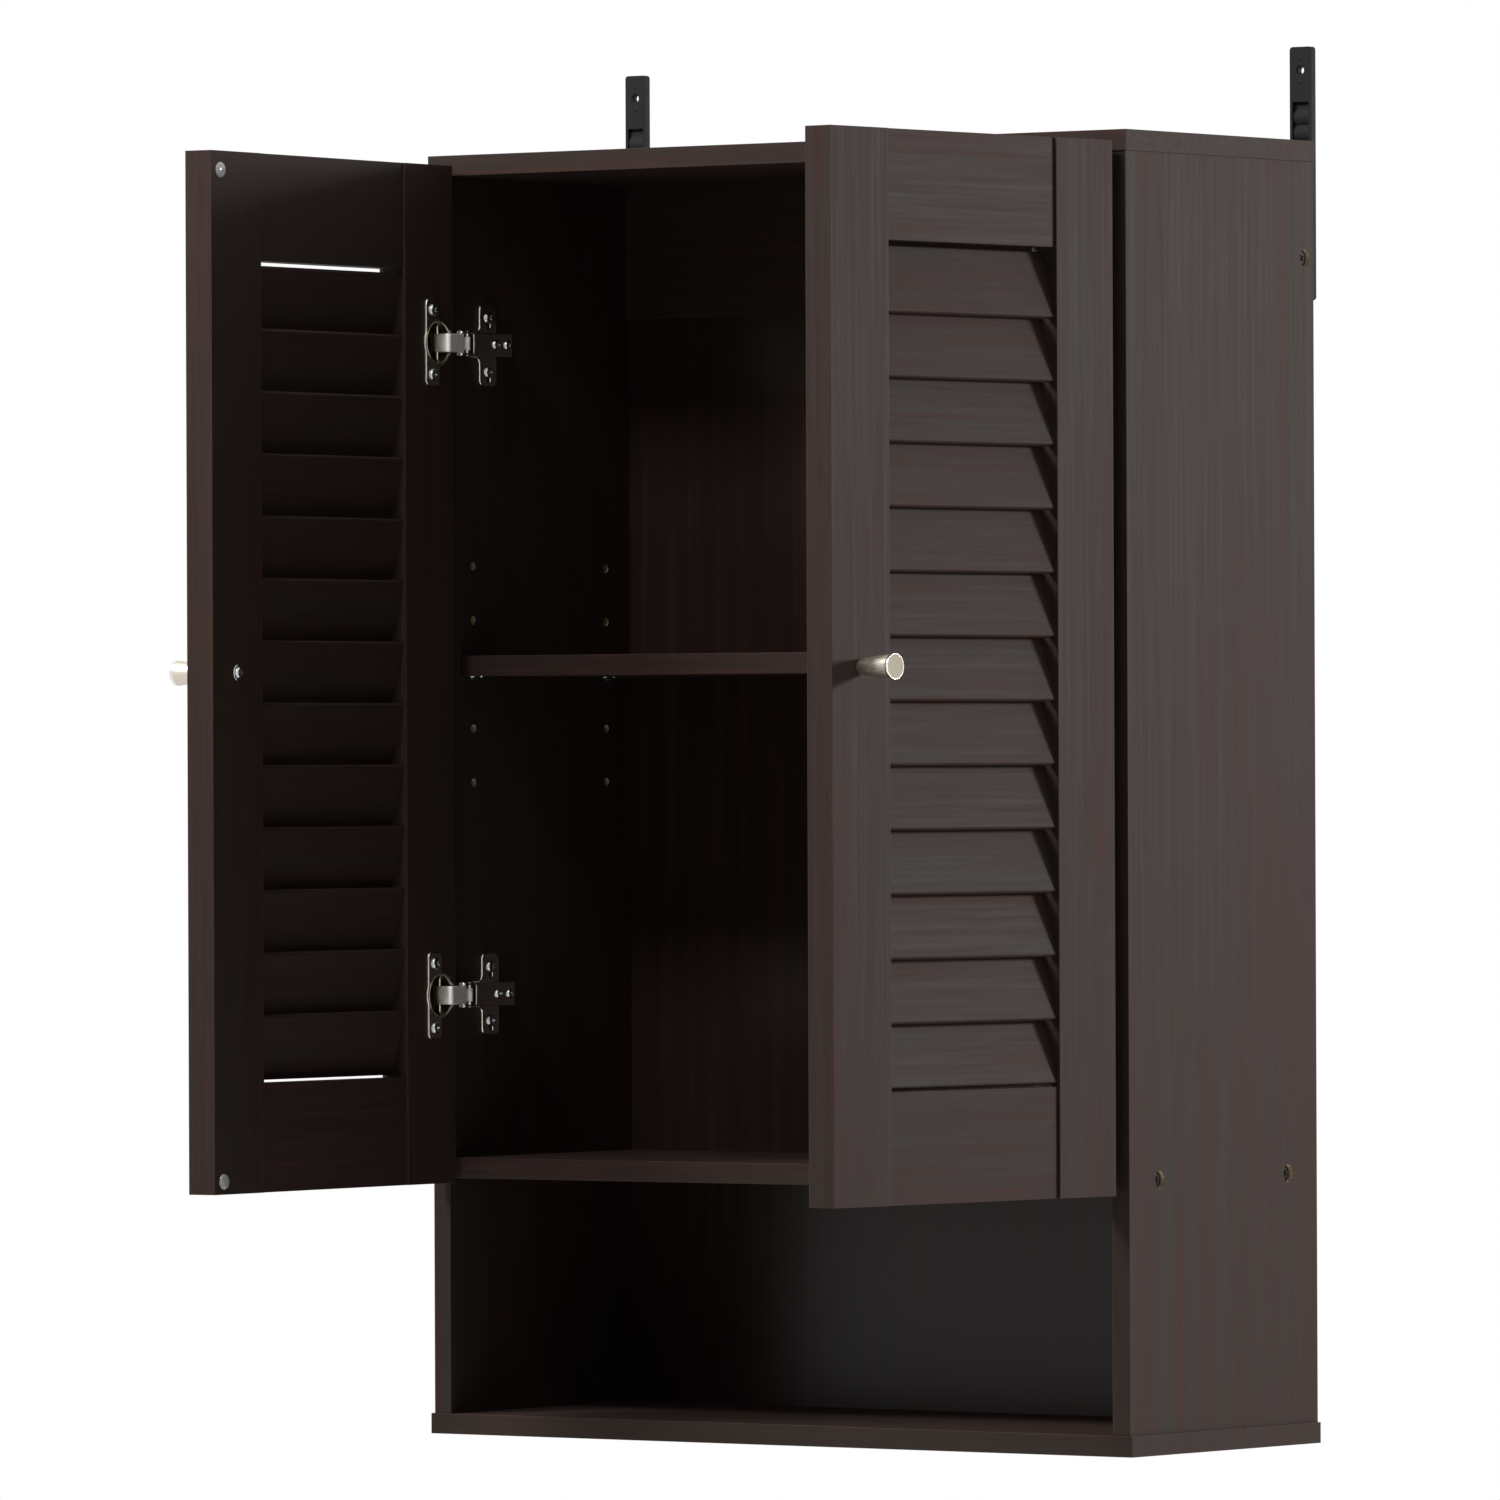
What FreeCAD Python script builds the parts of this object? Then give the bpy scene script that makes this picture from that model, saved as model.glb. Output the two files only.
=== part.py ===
import FreeCAD, Part
import math
import os
import Sketcher

# Wall cabinet with two louvred doors, an adjustable shelf and an open bay below.
# X runs to the right, Y runs from the room into the wall, and Z runs up. The origin lies on the
# wall, midway between the two wall holes. The doors stand open, as far as open_angle says.

# Driving sizes in millimetres and degrees, with what each one measures
SIZES = {
    "cabinet_width": (500, "over the outer faces of the side panels"),
    "cabinet_depth": (190, "front to rear edge of a side panel"),
    "cabinet_height": (754, "underside of the bottom to the top face"),
    "board": (12, "thickness of the laminated boards"),
    "top_side_overhang": (1, "top panel past each side panel"),
    "top_front_overhang": (1, "top panel past the front edges"),
    "bottom_side_overhang": (2, "bottom panel past each side panel"),
    "bottom_front_overhang": (1, "bottom panel past the front edges"),
    "bay_height": (139, "clear height of the open bay"),
    "rail_height": (80, "hanging rail across the back"),
    "rail_inset": (3, "rear face of the hanging rail, in from the rear edges"),
    "back_thickness": (3, "back panel"),
    "back_inset": (9, "rear face of the back panel, in from the rear edges"),
    "groove_depth": (4, "groove that holds the back panel"),
    "groove_clearance": (0.2, "all round the back panel in its groove"),
    "pin_row_height": (448, "shelf pins in use, above the underside"),
    "pin_pitch": (32, "from one row of pin holes to the next"),
    "pin_rows": (5, "rows of pin holes, the one in use in the middle"),
    "pin_front_distance": (24, "front column of pin holes from the front edge"),
    "pin_column_spacing": (130, "front column to rear column"),
    "pin_diameter": (5, "shelf pin and its hole"),
    "pin_hole_depth": (9, "blind pin hole"),
    "pin_reach": (8, "shelf pin past the side panel"),
    "pin_collar_diameter": (7.5, "collar of a shelf pin"),
    "pin_collar_thickness": (1, "collar of a shelf pin"),
    "pin_clearance": (0.1, "round a shelf pin"),
    "shelf_front_inset": (11, "adjustable shelf behind the front edges"),
    "shelf_end_gap": (1.3, "adjustable shelf to each side panel"),
    "shelf_rear_gap": (1, "adjustable shelf to the back panel"),
    "shelf_drop": (1, "shelf underside below the pin axis, in its notches"),
    "connector_head": (9.6, "head diameter of a carcass screw"),
    "connector_head_height": (2.2, "head of a carcass screw"),
    "connector_bore": (10, "counterbore for the head"),
    "connector_bore_depth": (3, "counterbore for the head"),
    "connector_neck": (6.4, "plain neck diameter of a carcass screw"),
    "connector_thread": (4.8, "thread diameter of a carcass screw"),
    "connector_length": (40, "carcass screw under its head"),
    "connector_inset": (30, "carcass screws from the front and rear edges"),
    "rail_screw_inset": (24, "rail screw and rail dowel from the rail's edges"),
    "fastener_clearance": (0.1, "round a screw or dowel in its hole"),
    "dowel_diameter": (6, "carcass and door dowels"),
    "dowel_length": (24, "carcass dowel"),
    "dowel_sink": (8, "carcass dowel in the board that it stands in"),
    "bracket_width": (15, "wall bracket"),
    "bracket_thickness": (4.5, "wall bracket"),
    "bracket_height": (147, "wall bracket"),
    "bracket_rise": (55, "wall bracket above the top face"),
    "bracket_inset": (1, "outer edge in from the side panel's outer face"),
    "bracket_rim": (1.9, "side ribs of the moulding"),
    "bracket_corner": (2, "corner radius of the moulding"),
    "wall_hole_drop": (13.7, "wall hole below the bracket's top"),
    "wall_hole_diameter": (4.5, "wall hole"),
    "wall_boss_diameter": (5.8, "shallow ring round the wall hole"),
    "wall_boss_depth": (0.4, "shallow ring round the wall hole"),
    "recess_drop": (32, "recess in the front of the moulding, below the bracket's top"),
    "recess_depth": (2.6, "recess in the front of the moulding"),
    "grip_drop": (36.2, "first rounded grip in the recess, below the bracket's top"),
    "grip_pitch": (9.2, "height of a grip"),
    "grip_rows": (2, "grips one below the other"),
    "grip_crest": (0.7, "crest of a grip behind the front face"),
    "core_height": (28, "hollow in the wall side of the moulding"),
    "core_drop": (62, "hollow below the bracket's top"),
    "core_depth": (2.5, "hollow in the wall side of the moulding"),
    "bracket_screw_drop": (52, "upper bracket screw below the top face"),
    "bracket_screw_spacing": (30, "upper to lower bracket screw"),
    "bracket_screw_head": (7, "head diameter"),
    "bracket_screw_head_height": (2, "head"),
    "bracket_screw_shank": (3.5, "shank diameter"),
    "bracket_screw_length": (22, "under the head"),
    "door_drop": (6.5, "door top below the top face"),
    "door_foot_lap": (2.5, "door's foot below the underside of the fixed shelf"),
    "door_reveal": (0.5, "closed door in from the side panel's outer face"),
    "door_middle_gap": (3, "between the closed doors"),
    "door_gap": (2.5, "closed door to the front edges"),
    "door_thickness": (18, "stiles"),
    "open_angle": (86, "how far the doors stand open"),
    "stile_width": (50, "stile"),
    "top_rail_height": (62, "top rail"),
    "bottom_rail_height": (63, "bottom rail"),
    "rail_front_recess": (1.6, "rails and slats behind the stiles' outer faces"),
    "rail_back_recess": (1.4, "rails in from the stiles' inner faces"),
    "slat_pitch": (36, "from one slat to the next"),
    "slat_width": (38.5, "slat across its slope"),
    "slat_thickness": (5, "slat"),
    "slat_tilt": (14.7, "slope of a slat from upright"),
    "slat_first_gap": (1.2, "lowest slat above the bottom rail"),
    "slat_rounding": (1.2, "long edges of a slat"),
    "mortise_depth": (6, "slanted mortise in a stile"),
    "mortise_clearance": (0.1, "round a slat's end"),
    "door_dowel_length": (30, "half in the stile and half in the rail"),
    "door_dowel_inset": (14, "from a rail's upper and lower edges"),
    "knob_inset": (25, "knob from the door's free edge"),
    "knob_length": (25, "knob"),
    "knob_base": (10.5, "knob diameter at the door"),
    "knob_face": (15, "knob diameter at its face"),
    "knob_edge": (0.8, "rounded rim of the face"),
    "knob_thread": (4, "knob screw"),
    "knob_screw_reach": (9, "knob screw into the knob"),
    "knob_screw_head": (9.5, "truss head of the knob screw"),
    "knob_screw_head_height": (2.2, "truss head of the knob screw"),
    "bumper_diameter": (9, "clear bumper"),
    "bumper_height": (2, "clear bumper"),
    "bumper_inset": (9, "from the door's free edge"),
    "bumper_top_drop": (11, "upper bumper below the door's top"),
    "bumper_foot_rise": (7.5, "lower bumper above the door's foot"),
    "hinge_top_drop": (104.5, "upper hinge below the door's top"),
    "hinge_foot_rise": (110.5, "lower hinge above the door's foot"),
    "cup_centre": (16.5, "cup from the door's hinge edge"),
    "cup_diameter": (26, "cup"),
    "cup_depth": (12.6, "cup"),
    "cup_wall": (0.8, "cup and its floor"),
    "cup_clearance": (0.1, "round the cup in its bore"),
    "flange_thickness": (1.2, "cup flange"),
    "flange_ring": (1.2, "flange past the cup all round"),
    "flange_length": (51, "flange from end to end"),
    "flange_width": (14, "flange across its screws"),
    "flange_corner": (3, "flange corners"),
    "flange_offset": (6, "flange screws past the cup's centre"),
    "cup_screw_spacing": (38, "flange screws"),
    "plate_line": (37, "plate screws from the front edge"),
    "plate_screw_spacing": (32, "plate screws"),
    "wing_length": (48.7, "mounting plate, end to end"),
    "wing_width": (16.5, "mounting plate's wings"),
    "wing_thickness": (2.2, "mounting plate's wings"),
    "wing_corner": (4, "mounting plate's outer and inner corners"),
    "wing_rounding": (0.8, "upper edges of the mounting plate"),
    "tongue_front": (16, "front end of the mounting plate's tongue, from the front edge"),
    "tongue_width": (15, "mounting plate's tongue under the arm"),
    "plate_slot_reach": (4.6, "slots in the mounting plate, below their screws"),
    "boss_width": (11.2, "raised middle of the mounting plate"),
    "boss_height": (6.5, "raised middle of the mounting plate"),
    "boss_front": (22, "raised middle, from the front edge"),
    "boss_length": (27, "raised middle of the mounting plate"),
    "small_screw_head": (7, "plate and cup screws"),
    "small_screw_head_height": (1.6, "plate and cup screws"),
    "small_screw_shank": (3.4, "plate and cup screws"),
    "small_screw_length": (10.5, "plate and cup screws, under the head"),
    "arm_width": (14, "hinge arm"),
    "arm_sheet": (1.2, "sheet of the hinge arm"),
    "arm_height": (10.5, "top of the arm from the side panel"),
    "arm_floor": (2.6, "lower edge of the arm's cheeks from the side panel"),
    "arm_rear": (50, "rear end of the arm from the front edge"),
    "arm_web_front": (13, "front end of the arm's web from the front edge"),
    "arm_boss": (2, "arm round its pins"),
    "arm_rounding": (1.4, "corners of the arm's cheeks"),
    "arm_screw_line": (33.7, "front arm screw from the front edge"),
    "arm_screw_spacing": (11.1, "front to rear arm screw"),
    "arm_screw_head": (6, "arm screws"),
    "arm_screw_head_height": (1.5, "arm screws"),
    "arm_screw_shank": (3.8, "arm screws"),
    "arm_screw_length": (6.5, "arm screws, under the head"),
    "link_room": (0.5, "beside the front link in the cup flange"),
    "hinge_pin": (2, "pins of the hinge"),
    "hinge_pin_play": (0.05, "round a pin in its hole"),
    "hinge_pin_stand": (0.3, "pin ends past the arm's cheeks"),
    "front_pin_inboard": (12, "front arm pin from the side panel"),
    "front_pin_forward": (2.25, "front arm pin ahead of the front edge"),
    "rear_pin_inboard": (12.5, "rear arm pin from the side panel"),
    "rear_pin_back": (3.5, "rear arm pin behind the front edge"),
    "front_cup_pin": (9, "front link's cup pin from the hinge edge"),
    "front_cup_pin_depth": (5, "front link's cup pin below the inner face"),
    "rear_cup_pin": (7, "rear link's cup end from the hinge edge"),
    "rear_cup_pin_depth": (3, "rear link's cup end below the inner face"),
    "front_link_turn": (43.9, "turn of the front link from closed to open"),
    "front_link_width": (10.8, "front link over its cheeks"),
    "front_link_sheet": (1, "cheeks and web of the front link"),
    "front_link_reach": (11.2, "elbow along the line of the pins"),
    "front_link_rise": (5.9, "elbow off the line of the pins"),
    "rear_link_width": (7.6, "rear link"),
    "rear_link_sheet": (1.2, "rear link"),
    "rear_link_reach": (15.8, "elbow along the line of the pins"),
    "rear_link_rise": (4.3, "elbow off the line of the pins"),
    "front_link_eye": (1.9, "outer radius round its pins"),
    "front_link_lip": (1.1, "cheeks of the front link, on the inner side of its bend"),
    "front_link_room": (1.3, "inside of the front link's web, on the outer side of its bend"),
    "front_link_bend": (2.2, "outer radius of the front link's bend"),
    "rear_link_eye": (1.75, "outer radius round its arm pin"),
    "rear_link_end": (2.6, "rounded cup end"),
    "cut_overrun": (1, "how far a cut runs past the faces it opens"),
}

doc = FreeCAD.newDocument("wall_cabinet")
sheet = doc.addObject("Spreadsheet::Sheet", "Sizes")


class Measure:
    """A size that knows its number and the expression that gives it from the sheet."""

    def __init__(self, number, text):
        self.number = float(number)
        self.text = text

    def __add__(self, other):
        other = measure(other)
        return Measure(self.number + other.number, f"({self.text} + {other.text})")

    def __sub__(self, other):
        other = measure(other)
        return Measure(self.number - other.number, f"({self.text} - {other.text})")

    def __mul__(self, other):
        other = measure(other)
        return Measure(self.number * other.number, f"{self.text} * {other.text}")

    def __truediv__(self, other):
        other = measure(other)
        return Measure(self.number / other.number, f"({self.text} / ({other.text}))")

    def __radd__(self, other):
        return measure(other) + self

    def __rsub__(self, other):
        return measure(other) - self

    def __rmul__(self, other):
        return measure(other) * self

    def __neg__(self):
        return measure(0) - self


def measure(value):
    """A plain number as a Measure; a Measure stays as it is."""
    return value if isinstance(value, Measure) else Measure(value, repr(value))


def cosine(angle):
    return Measure(math.cos(math.radians(angle.number)), f"cos({angle.text} * 1deg)")


def sine(angle):
    return Measure(math.sin(math.radians(angle.number)), f"sin({angle.text} * 1deg)")


def root(value):
    return Measure(math.sqrt(value.number), f"sqrt({value.text})")


def heading(x, y):
    """Angle of the direction (x, y) from the X axis, in degrees."""
    return Measure(math.degrees(math.atan2(y.number, x.number)), f"(atan2({y.text}; {x.text}) / 1deg)")


def whole(value):
    """A count, rounded down."""
    return Measure(math.floor(value.number), f"floor({value.text})")


def fill_sheet():
    """Writes each driving size to its own cell and gives back the sizes by name."""
    sizes = {}
    for row, (name, (value, note)) in enumerate(SIZES.items(), start=1):
        sheet.set(f"A{row}", name)
        sheet.set(f"B{row}", str(value))
        sheet.set(f"C{row}", note)
        sheet.setAlias(f"B{row}", name)
        sizes[name] = Measure(value, f"Sizes.{name}")
    doc.recompute()
    return sizes


class Namespace:
    """Sizes read as attributes, such as size.board."""

    def __init__(self, values):
        self.__dict__.update(values)


size = Namespace(fill_sheet())


def bind(target, path, value):
    """Binds a property to the sheet."""
    target.setExpression(path, measure(value).text)


def place(target, at, turn=0, axis=(0, 0, 1), prefix="Placement"):
    """Puts a piece at a point, turned about an axis through that point."""
    turn = measure(turn)
    x, y, z = (measure(value) for value in at)
    base = FreeCAD.Vector(x.number, y.number, z.number)
    target.Placement = FreeCAD.Placement(base, FreeCAD.Rotation(FreeCAD.Vector(*axis), turn.number))
    for letter, value in zip("xyz", (x, y, z)):
        bind(target, f"{prefix}.Base.{letter}", value)
    bind(target, f"{prefix}.Rotation.Angle", turn)


PLANES = {"X": "YZ_Plane", "Y": "XZ_Plane", "Z": "XY_Plane"}
parts = {}


def keep(name, solid):
    """Lists a finished sub-part for export under its own label."""
    solid.Label = name
    parts[name] = solid
    return solid


def polygon(*points):
    """Closed outline through points of a sketch."""

    def draw(sketch):
        first = sketch.GeometryCount
        corners = [(measure(x), measure(y)) for x, y in points]
        for index, (x, y) in enumerate(corners):
            following = corners[(index + 1) % len(corners)]
            start = FreeCAD.Vector(x.number, y.number, 0)
            end = FreeCAD.Vector(following[0].number, following[1].number, 0)
            sketch.addGeometry(Part.LineSegment(start, end), False)
        for index, (x, y) in enumerate(corners):
            line = first + index
            before = first + (index - 1) % len(corners)
            sketch.addConstraint(Sketcher.Constraint("Coincident", before, 2, line, 1))
            fix(sketch, line, 1, x, y)

    return draw


def rectangle(x, y, width, height):
    """Closed outline from its lower left corner."""
    return polygon((x, y), (x + width, y), (x + width, y + height), (x, y + height))


def circle(x, y, diameter):
    """Round outline about its centre."""

    def draw(sketch):
        centre_x, centre_y, across = measure(x), measure(y), measure(diameter)
        middle = FreeCAD.Vector(centre_x.number, centre_y.number, 0)
        up = FreeCAD.Vector(0, 0, 1)
        index = sketch.addGeometry(Part.Circle(middle, up, across.number / 2), False)
        fix(sketch, index, 3, centre_x, centre_y)
        bound(sketch, Sketcher.Constraint("Diameter", index, across.number), across)

    return draw


def bound(sketch, constraint, value):
    """Adds a size constraint and binds it to the sheet."""
    index = sketch.addConstraint(constraint)
    label = f"size{index}"
    sketch.renameConstraint(index, label)
    bind(sketch, f"Constraints.{label}", value)


def fix(sketch, geometry, point, x, y):
    """Holds a point of a sketch at a place measured from the sketch's origin."""
    for kind, value, origin_axis in (("DistanceX", x, -2), ("DistanceY", y, -1)):
        if value.text == "0":
            sketch.addConstraint(Sketcher.Constraint("PointOnObject", geometry, point, origin_axis))
        else:
            constraint = Sketcher.Constraint(kind, -1, 1, geometry, point, value.number)
            bound(sketch, constraint, value)


class Piece:
    """One body, built from outlines that stand square to one of its own axes."""

    def __init__(self, name, at, turn=0, axis=(0, 0, 1)):
        self.name = name
        self.body = doc.addObject("PartDesign::Body", name)
        self.body.AllowCompound = True
        place(self.body, at, turn, axis)
        self.roles = {item.Role: item for item in self.body.Origin.OriginFeatures}

    def sketch(self, normal, start, outlines):
        """Sketch square to an axis, at a distance along it, with its outlines."""
        sketch = self.body.newObject("Sketcher::SketchObject", f"{self.name}_outline")
        sketch.AttachmentSupport = [(self.roles[PLANES[normal]], "")]
        sketch.MapMode = "FlatFace"
        lift = -measure(start) if normal == "Y" else measure(start)
        bind(sketch, "AttachmentOffset.Base.z", lift)
        for draw in outlines:
            draw(sketch)
        return sketch

    def feature(self, kind, label):
        feature = self.body.newObject(f"PartDesign::{kind}", f"{self.name}_{label}")
        self.last = feature
        return feature

    def add(self, normal, start, length, *outlines):
        """Material from start, along the axis, over length."""
        sketch = self.sketch(normal, start, outlines)
        pad = self.feature("Pad", "pad")
        pad.Profile = sketch
        pad.Reversed = normal == "Y"
        bind(pad, "Length", length)
        return self

    def cut(self, normal, start, length, *outlines):
        """Empty space from start, along the axis, over length."""
        sketch = self.sketch(normal, start, outlines)
        pocket = self.feature("Pocket", "cut")
        pocket.Profile = sketch
        pocket.Reversed = normal != "Y"
        bind(pocket, "Length", length)
        return self

    def spin(self, *points):
        """Turned shape about the body's Y axis; each point is a radius and a place along Y."""
        sketch = self.sketch("Z", 0, [polygon(*points)])
        turned = self.feature("Revolution", "turned")
        turned.Profile = sketch
        turned.ReferenceAxis = (sketch, ["V_Axis"])
        return self

    def repeat(self, axis, step, count, whole_shape=False):
        """Row of the last feature, or of the whole shape, along an axis."""
        count = measure(count)
        done = self.last
        row = self.feature("LinearPattern", "row")
        if whole_shape:
            row.TransformMode = "Whole shape"
        else:
            row.Originals = [done]
        row.Direction = (self.roles[f"{axis}_Axis"], [""])
        bind(row, "Length", step * (count - 1))
        bind(row, "Occurrences", count)
        self.body.Tip = row
        return self

    def soften(self, radius, pick):
        """Rounds the edges of the shape so far that pick chooses."""
        doc.recompute()
        edges = self.last.Shape.Edges
        names = [f"Edge{index}" for index, edge in enumerate(edges, start=1) if pick(edge)]
        base = self.last
        fillet = self.feature("Fillet", "rounding")
        fillet.Base = (base, names)
        bind(fillet, "Radius", radius)
        return self

    def keep(self, name=None):
        keep(name or self.name, self.body)
        return self.body


def runs_along(axis):
    """Picks the straight edges that run along one axis."""
    direction = {"X": FreeCAD.Vector(1, 0, 0), "Y": FreeCAD.Vector(0, 1, 0), "Z": FreeCAD.Vector(0, 0, 1)}[axis]

    def pick(edge):
        if edge.Curve.TypeId != "Part::GeomLine":
            return False
        return abs(abs(edge.tangentAt(edge.FirstParameter).dot(direction)) - 1) < 1e-6

    return pick


def stands_at(x, y):
    """Picks the edges that cross a piece's own XY plane nearest to a point."""
    spot = FreeCAD.Vector(x.number, y.number, 0)

    def pick(edge):
        middle = edge.CenterOfMass
        return runs_along("Z")(edge) and FreeCAD.Vector(middle.x, middle.y, 0).distanceToPoint(spot) < 1e-3

    return pick


def lies_at(x):
    """Picks the edges that lie square to a piece's own X axis, at one place along it."""
    def pick(edge):
        box = edge.BoundBox
        return abs(box.XMin - x.number) < 1e-3 and abs(box.XMax - x.number) < 1e-3

    return pick


def board(name, at, dimensions):
    """Plain board from its lowest left front corner."""
    width, depth, height = dimensions
    return Piece(name, at).add("Z", 0, height, rectangle(0, 0, width, depth))


def copies(name, master, places):
    """Compound of one master at several places; each place is (x, y, z, turn, axis)."""
    links = []
    for x, y, z, turn, axis in places:
        link = doc.addObject("App::Link", f"{name}_copy")
        link.setLink(master)
        place(link, (x, y, z), turn, axis)
        links.append(link)
    return gather(name, links)


def gather(name, members):
    compound = doc.addObject("Part::Compound", f"{name}_set")
    compound.Links = members
    return compound


def mirrored(name, source):
    """The same shape on the other side of the cabinet's middle plane."""
    twin = doc.addObject("Part::Mirroring", f"{name}_twin")
    twin.Source = source
    twin.Normal = FreeCAD.Vector(1, 0, 0)
    twin.Base = FreeCAD.Vector(0, 0, 0)
    return twin


def both_hands(left_name, body):
    """Keeps a left piece and its right-hand twin."""
    right_name = left_name.replace("left_", "right_", 1)
    keep(left_name, body)
    keep(right_name, mirrored(right_name, body))


def both_sides(name, left_group):
    """Keeps one node that holds the left group and its mirror image."""
    keep(name, gather(name, [left_group, mirrored(name, left_group)]))


UPRIGHT = (0, 0, 1)
HALF_TURN = 180
SIDEWAYS = (1, 0, 0)

# Planes of the carcass
half_width = size.cabinet_width / 2
rear_y = -size.bracket_thickness
front_y = rear_y - size.cabinet_depth
floor_z = -(size.cabinet_height + size.bracket_rise - size.wall_hole_drop)
top_z = floor_z + size.cabinet_height
side_height = size.cabinet_height - size.board * 2
inner_width = size.cabinet_width - size.board * 2
inner_x = -half_width + size.board
bay_shelf_z = floor_z + size.board + size.bay_height
rail_z = top_z - size.board - size.rail_height
rail_y = rear_y - size.rail_inset - size.board
back_y = rear_y - size.back_inset - size.back_thickness

# Lines of the carcass fasteners: places along Y from the front edge
front_screw = size.connector_inset
rear_screw = size.cabinet_depth - size.connector_inset
middle_dowel = size.cabinet_depth / 2
rail_line = size.cabinet_depth - size.rail_inset - size.board / 2
bay_shelf_line = size.bay_height + size.board / 2
rail_screw_z = rail_z + size.rail_screw_inset
rail_dowel_z = rail_z + size.rail_height - size.rail_screw_inset
neck_hole = size.connector_neck + size.fastener_clearance * 2
thread_hole = size.connector_thread + size.fastener_clearance * 2
dowel_hole = size.dowel_diameter + size.fastener_clearance * 2
neck_length = size.board - size.connector_bore_depth
thread_hole_depth = size.connector_length - neck_length + size.fastener_clearance
dowel_reach = size.dowel_length - size.dowel_sink + size.fastener_clearance

# Doors: the hinge side of the left door, closed and open
door_width = (size.cabinet_width - size.door_reveal * 2 - size.door_middle_gap) / 2
door_foot_z = bay_shelf_z - size.door_foot_lap
door_height = top_z - size.door_drop - door_foot_z
hinge_heights = {
    "upper": door_foot_z + door_height - size.hinge_top_drop,
    "lower": door_foot_z + size.hinge_foot_rise,
}
hinge_spacing = door_height - size.hinge_top_drop - size.hinge_foot_rise
front_pin = (inner_x + size.front_pin_inboard, front_y - size.front_pin_forward)
rear_pin = (inner_x + size.rear_pin_inboard, front_y + size.rear_pin_back)
closed_x = -half_width + size.door_reveal + size.front_cup_pin - front_pin[0]
closed_y = front_y - size.door_gap - size.front_cup_pin_depth - front_pin[1]
front_link_length = root(closed_x * closed_x + closed_y * closed_y)
front_link_heading = heading(closed_x, closed_y) + size.front_link_turn
door_turn = -size.open_angle
cup_pin = (
    front_pin[0] + front_link_length * cosine(front_link_heading),
    front_pin[1] + front_link_length * sine(front_link_heading),
)


def turned_by_door(x, y):
    """A door direction, along the width and across the thickness, in the cabinet's frame."""
    return (
        x * cosine(door_turn) - y * sine(door_turn),
        x * sine(door_turn) + y * cosine(door_turn),
    )


pin_across = size.door_thickness - size.front_cup_pin_depth
pin_offset = turned_by_door(size.front_cup_pin, pin_across)
door_x = cup_pin[0] - pin_offset[0]
door_y = cup_pin[1] - pin_offset[1]


def on_door(x, y, z):
    """Point of the open left door: from its hinge edge, its outer face and its foot."""
    across_x, across_y = turned_by_door(measure(x), measure(y))
    return door_x + across_x, door_y + across_y, door_foot_z + z


# Boards of the carcass
def side_panel():
    """Side panel with its groove, pin holes, screw bores and dowel holes."""
    panel = board("left_side_panel", (-half_width, front_y, floor_z + size.board),
                  (size.board, size.cabinet_depth, side_height))
    groove_y = back_y - front_y - size.groove_clearance / 2
    panel.cut("Z", 0, side_height, rectangle(size.board - size.groove_depth, groove_y,
                                             size.groove_depth, size.back_thickness + size.groove_clearance))
    rows_below = (size.pin_rows - 1) / 2
    lowest_row = size.pin_row_height - size.board - size.pin_pitch * rows_below
    panel.cut("X", size.board - size.pin_hole_depth, size.pin_hole_depth,
              circle(size.pin_front_distance, lowest_row, size.pin_diameter),
              circle(size.pin_front_distance + size.pin_column_spacing, lowest_row, size.pin_diameter))
    panel.repeat("Z", size.pin_pitch, size.pin_rows)
    screws = [(front_screw, bay_shelf_line), (rear_screw, bay_shelf_line),
              (rail_line, rail_screw_z - floor_z - size.board)]
    panel.cut("X", 0, size.connector_bore_depth, *[circle(y, z, size.connector_bore) for y, z in screws])
    panel.cut("X", size.connector_bore_depth, neck_length, *[circle(y, z, neck_hole) for y, z in screws])
    dowel_depth = size.dowel_sink + size.fastener_clearance
    dowels = [(middle_dowel, bay_shelf_line), (rail_line, rail_dowel_z - floor_z - size.board)]
    panel.cut("X", size.board - dowel_depth, dowel_depth, *[circle(y, z, dowel_hole) for y, z in dowels])
    plate_hole = size.small_screw_shank + size.fastener_clearance * 2
    plate_hole_depth = size.small_screw_length - size.wing_thickness + size.fastener_clearance
    plate_screws = [hinge_heights[name] - floor_z - size.board + size.plate_screw_spacing * side / 2
                    for name in hinge_heights for side in (-1, 1)]
    panel.cut("X", size.board - plate_hole_depth, plate_hole_depth,
              *[circle(size.plate_line, z, plate_hole) for z in plate_screws])
    for end in (0, side_height - thread_hole_depth):
        panel.cut("Z", end, thread_hole_depth,
                  *[circle(size.board / 2, y, thread_hole) for y in (front_screw, rear_screw)])
    for end in (0, side_height - dowel_reach):
        panel.cut("Z", end, dowel_reach, circle(size.board / 2, middle_dowel, dowel_hole))
    bracket_hole = size.bracket_screw_shank + size.fastener_clearance * 2
    bracket_hole_depth = size.bracket_screw_length
    bracket_line = size.bracket_inset + size.bracket_width / 2
    panel.cut("Y", size.cabinet_depth - bracket_hole_depth, bracket_hole_depth,
              *[circle(bracket_line, z - floor_z - size.board, bracket_hole) for z in bracket_screw_heights])
    both_hands("left_side_panel", panel.body)


bracket_screw_heights = (
    top_z - size.bracket_screw_drop,
    top_z - size.bracket_screw_drop - size.bracket_screw_spacing,
)


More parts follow.
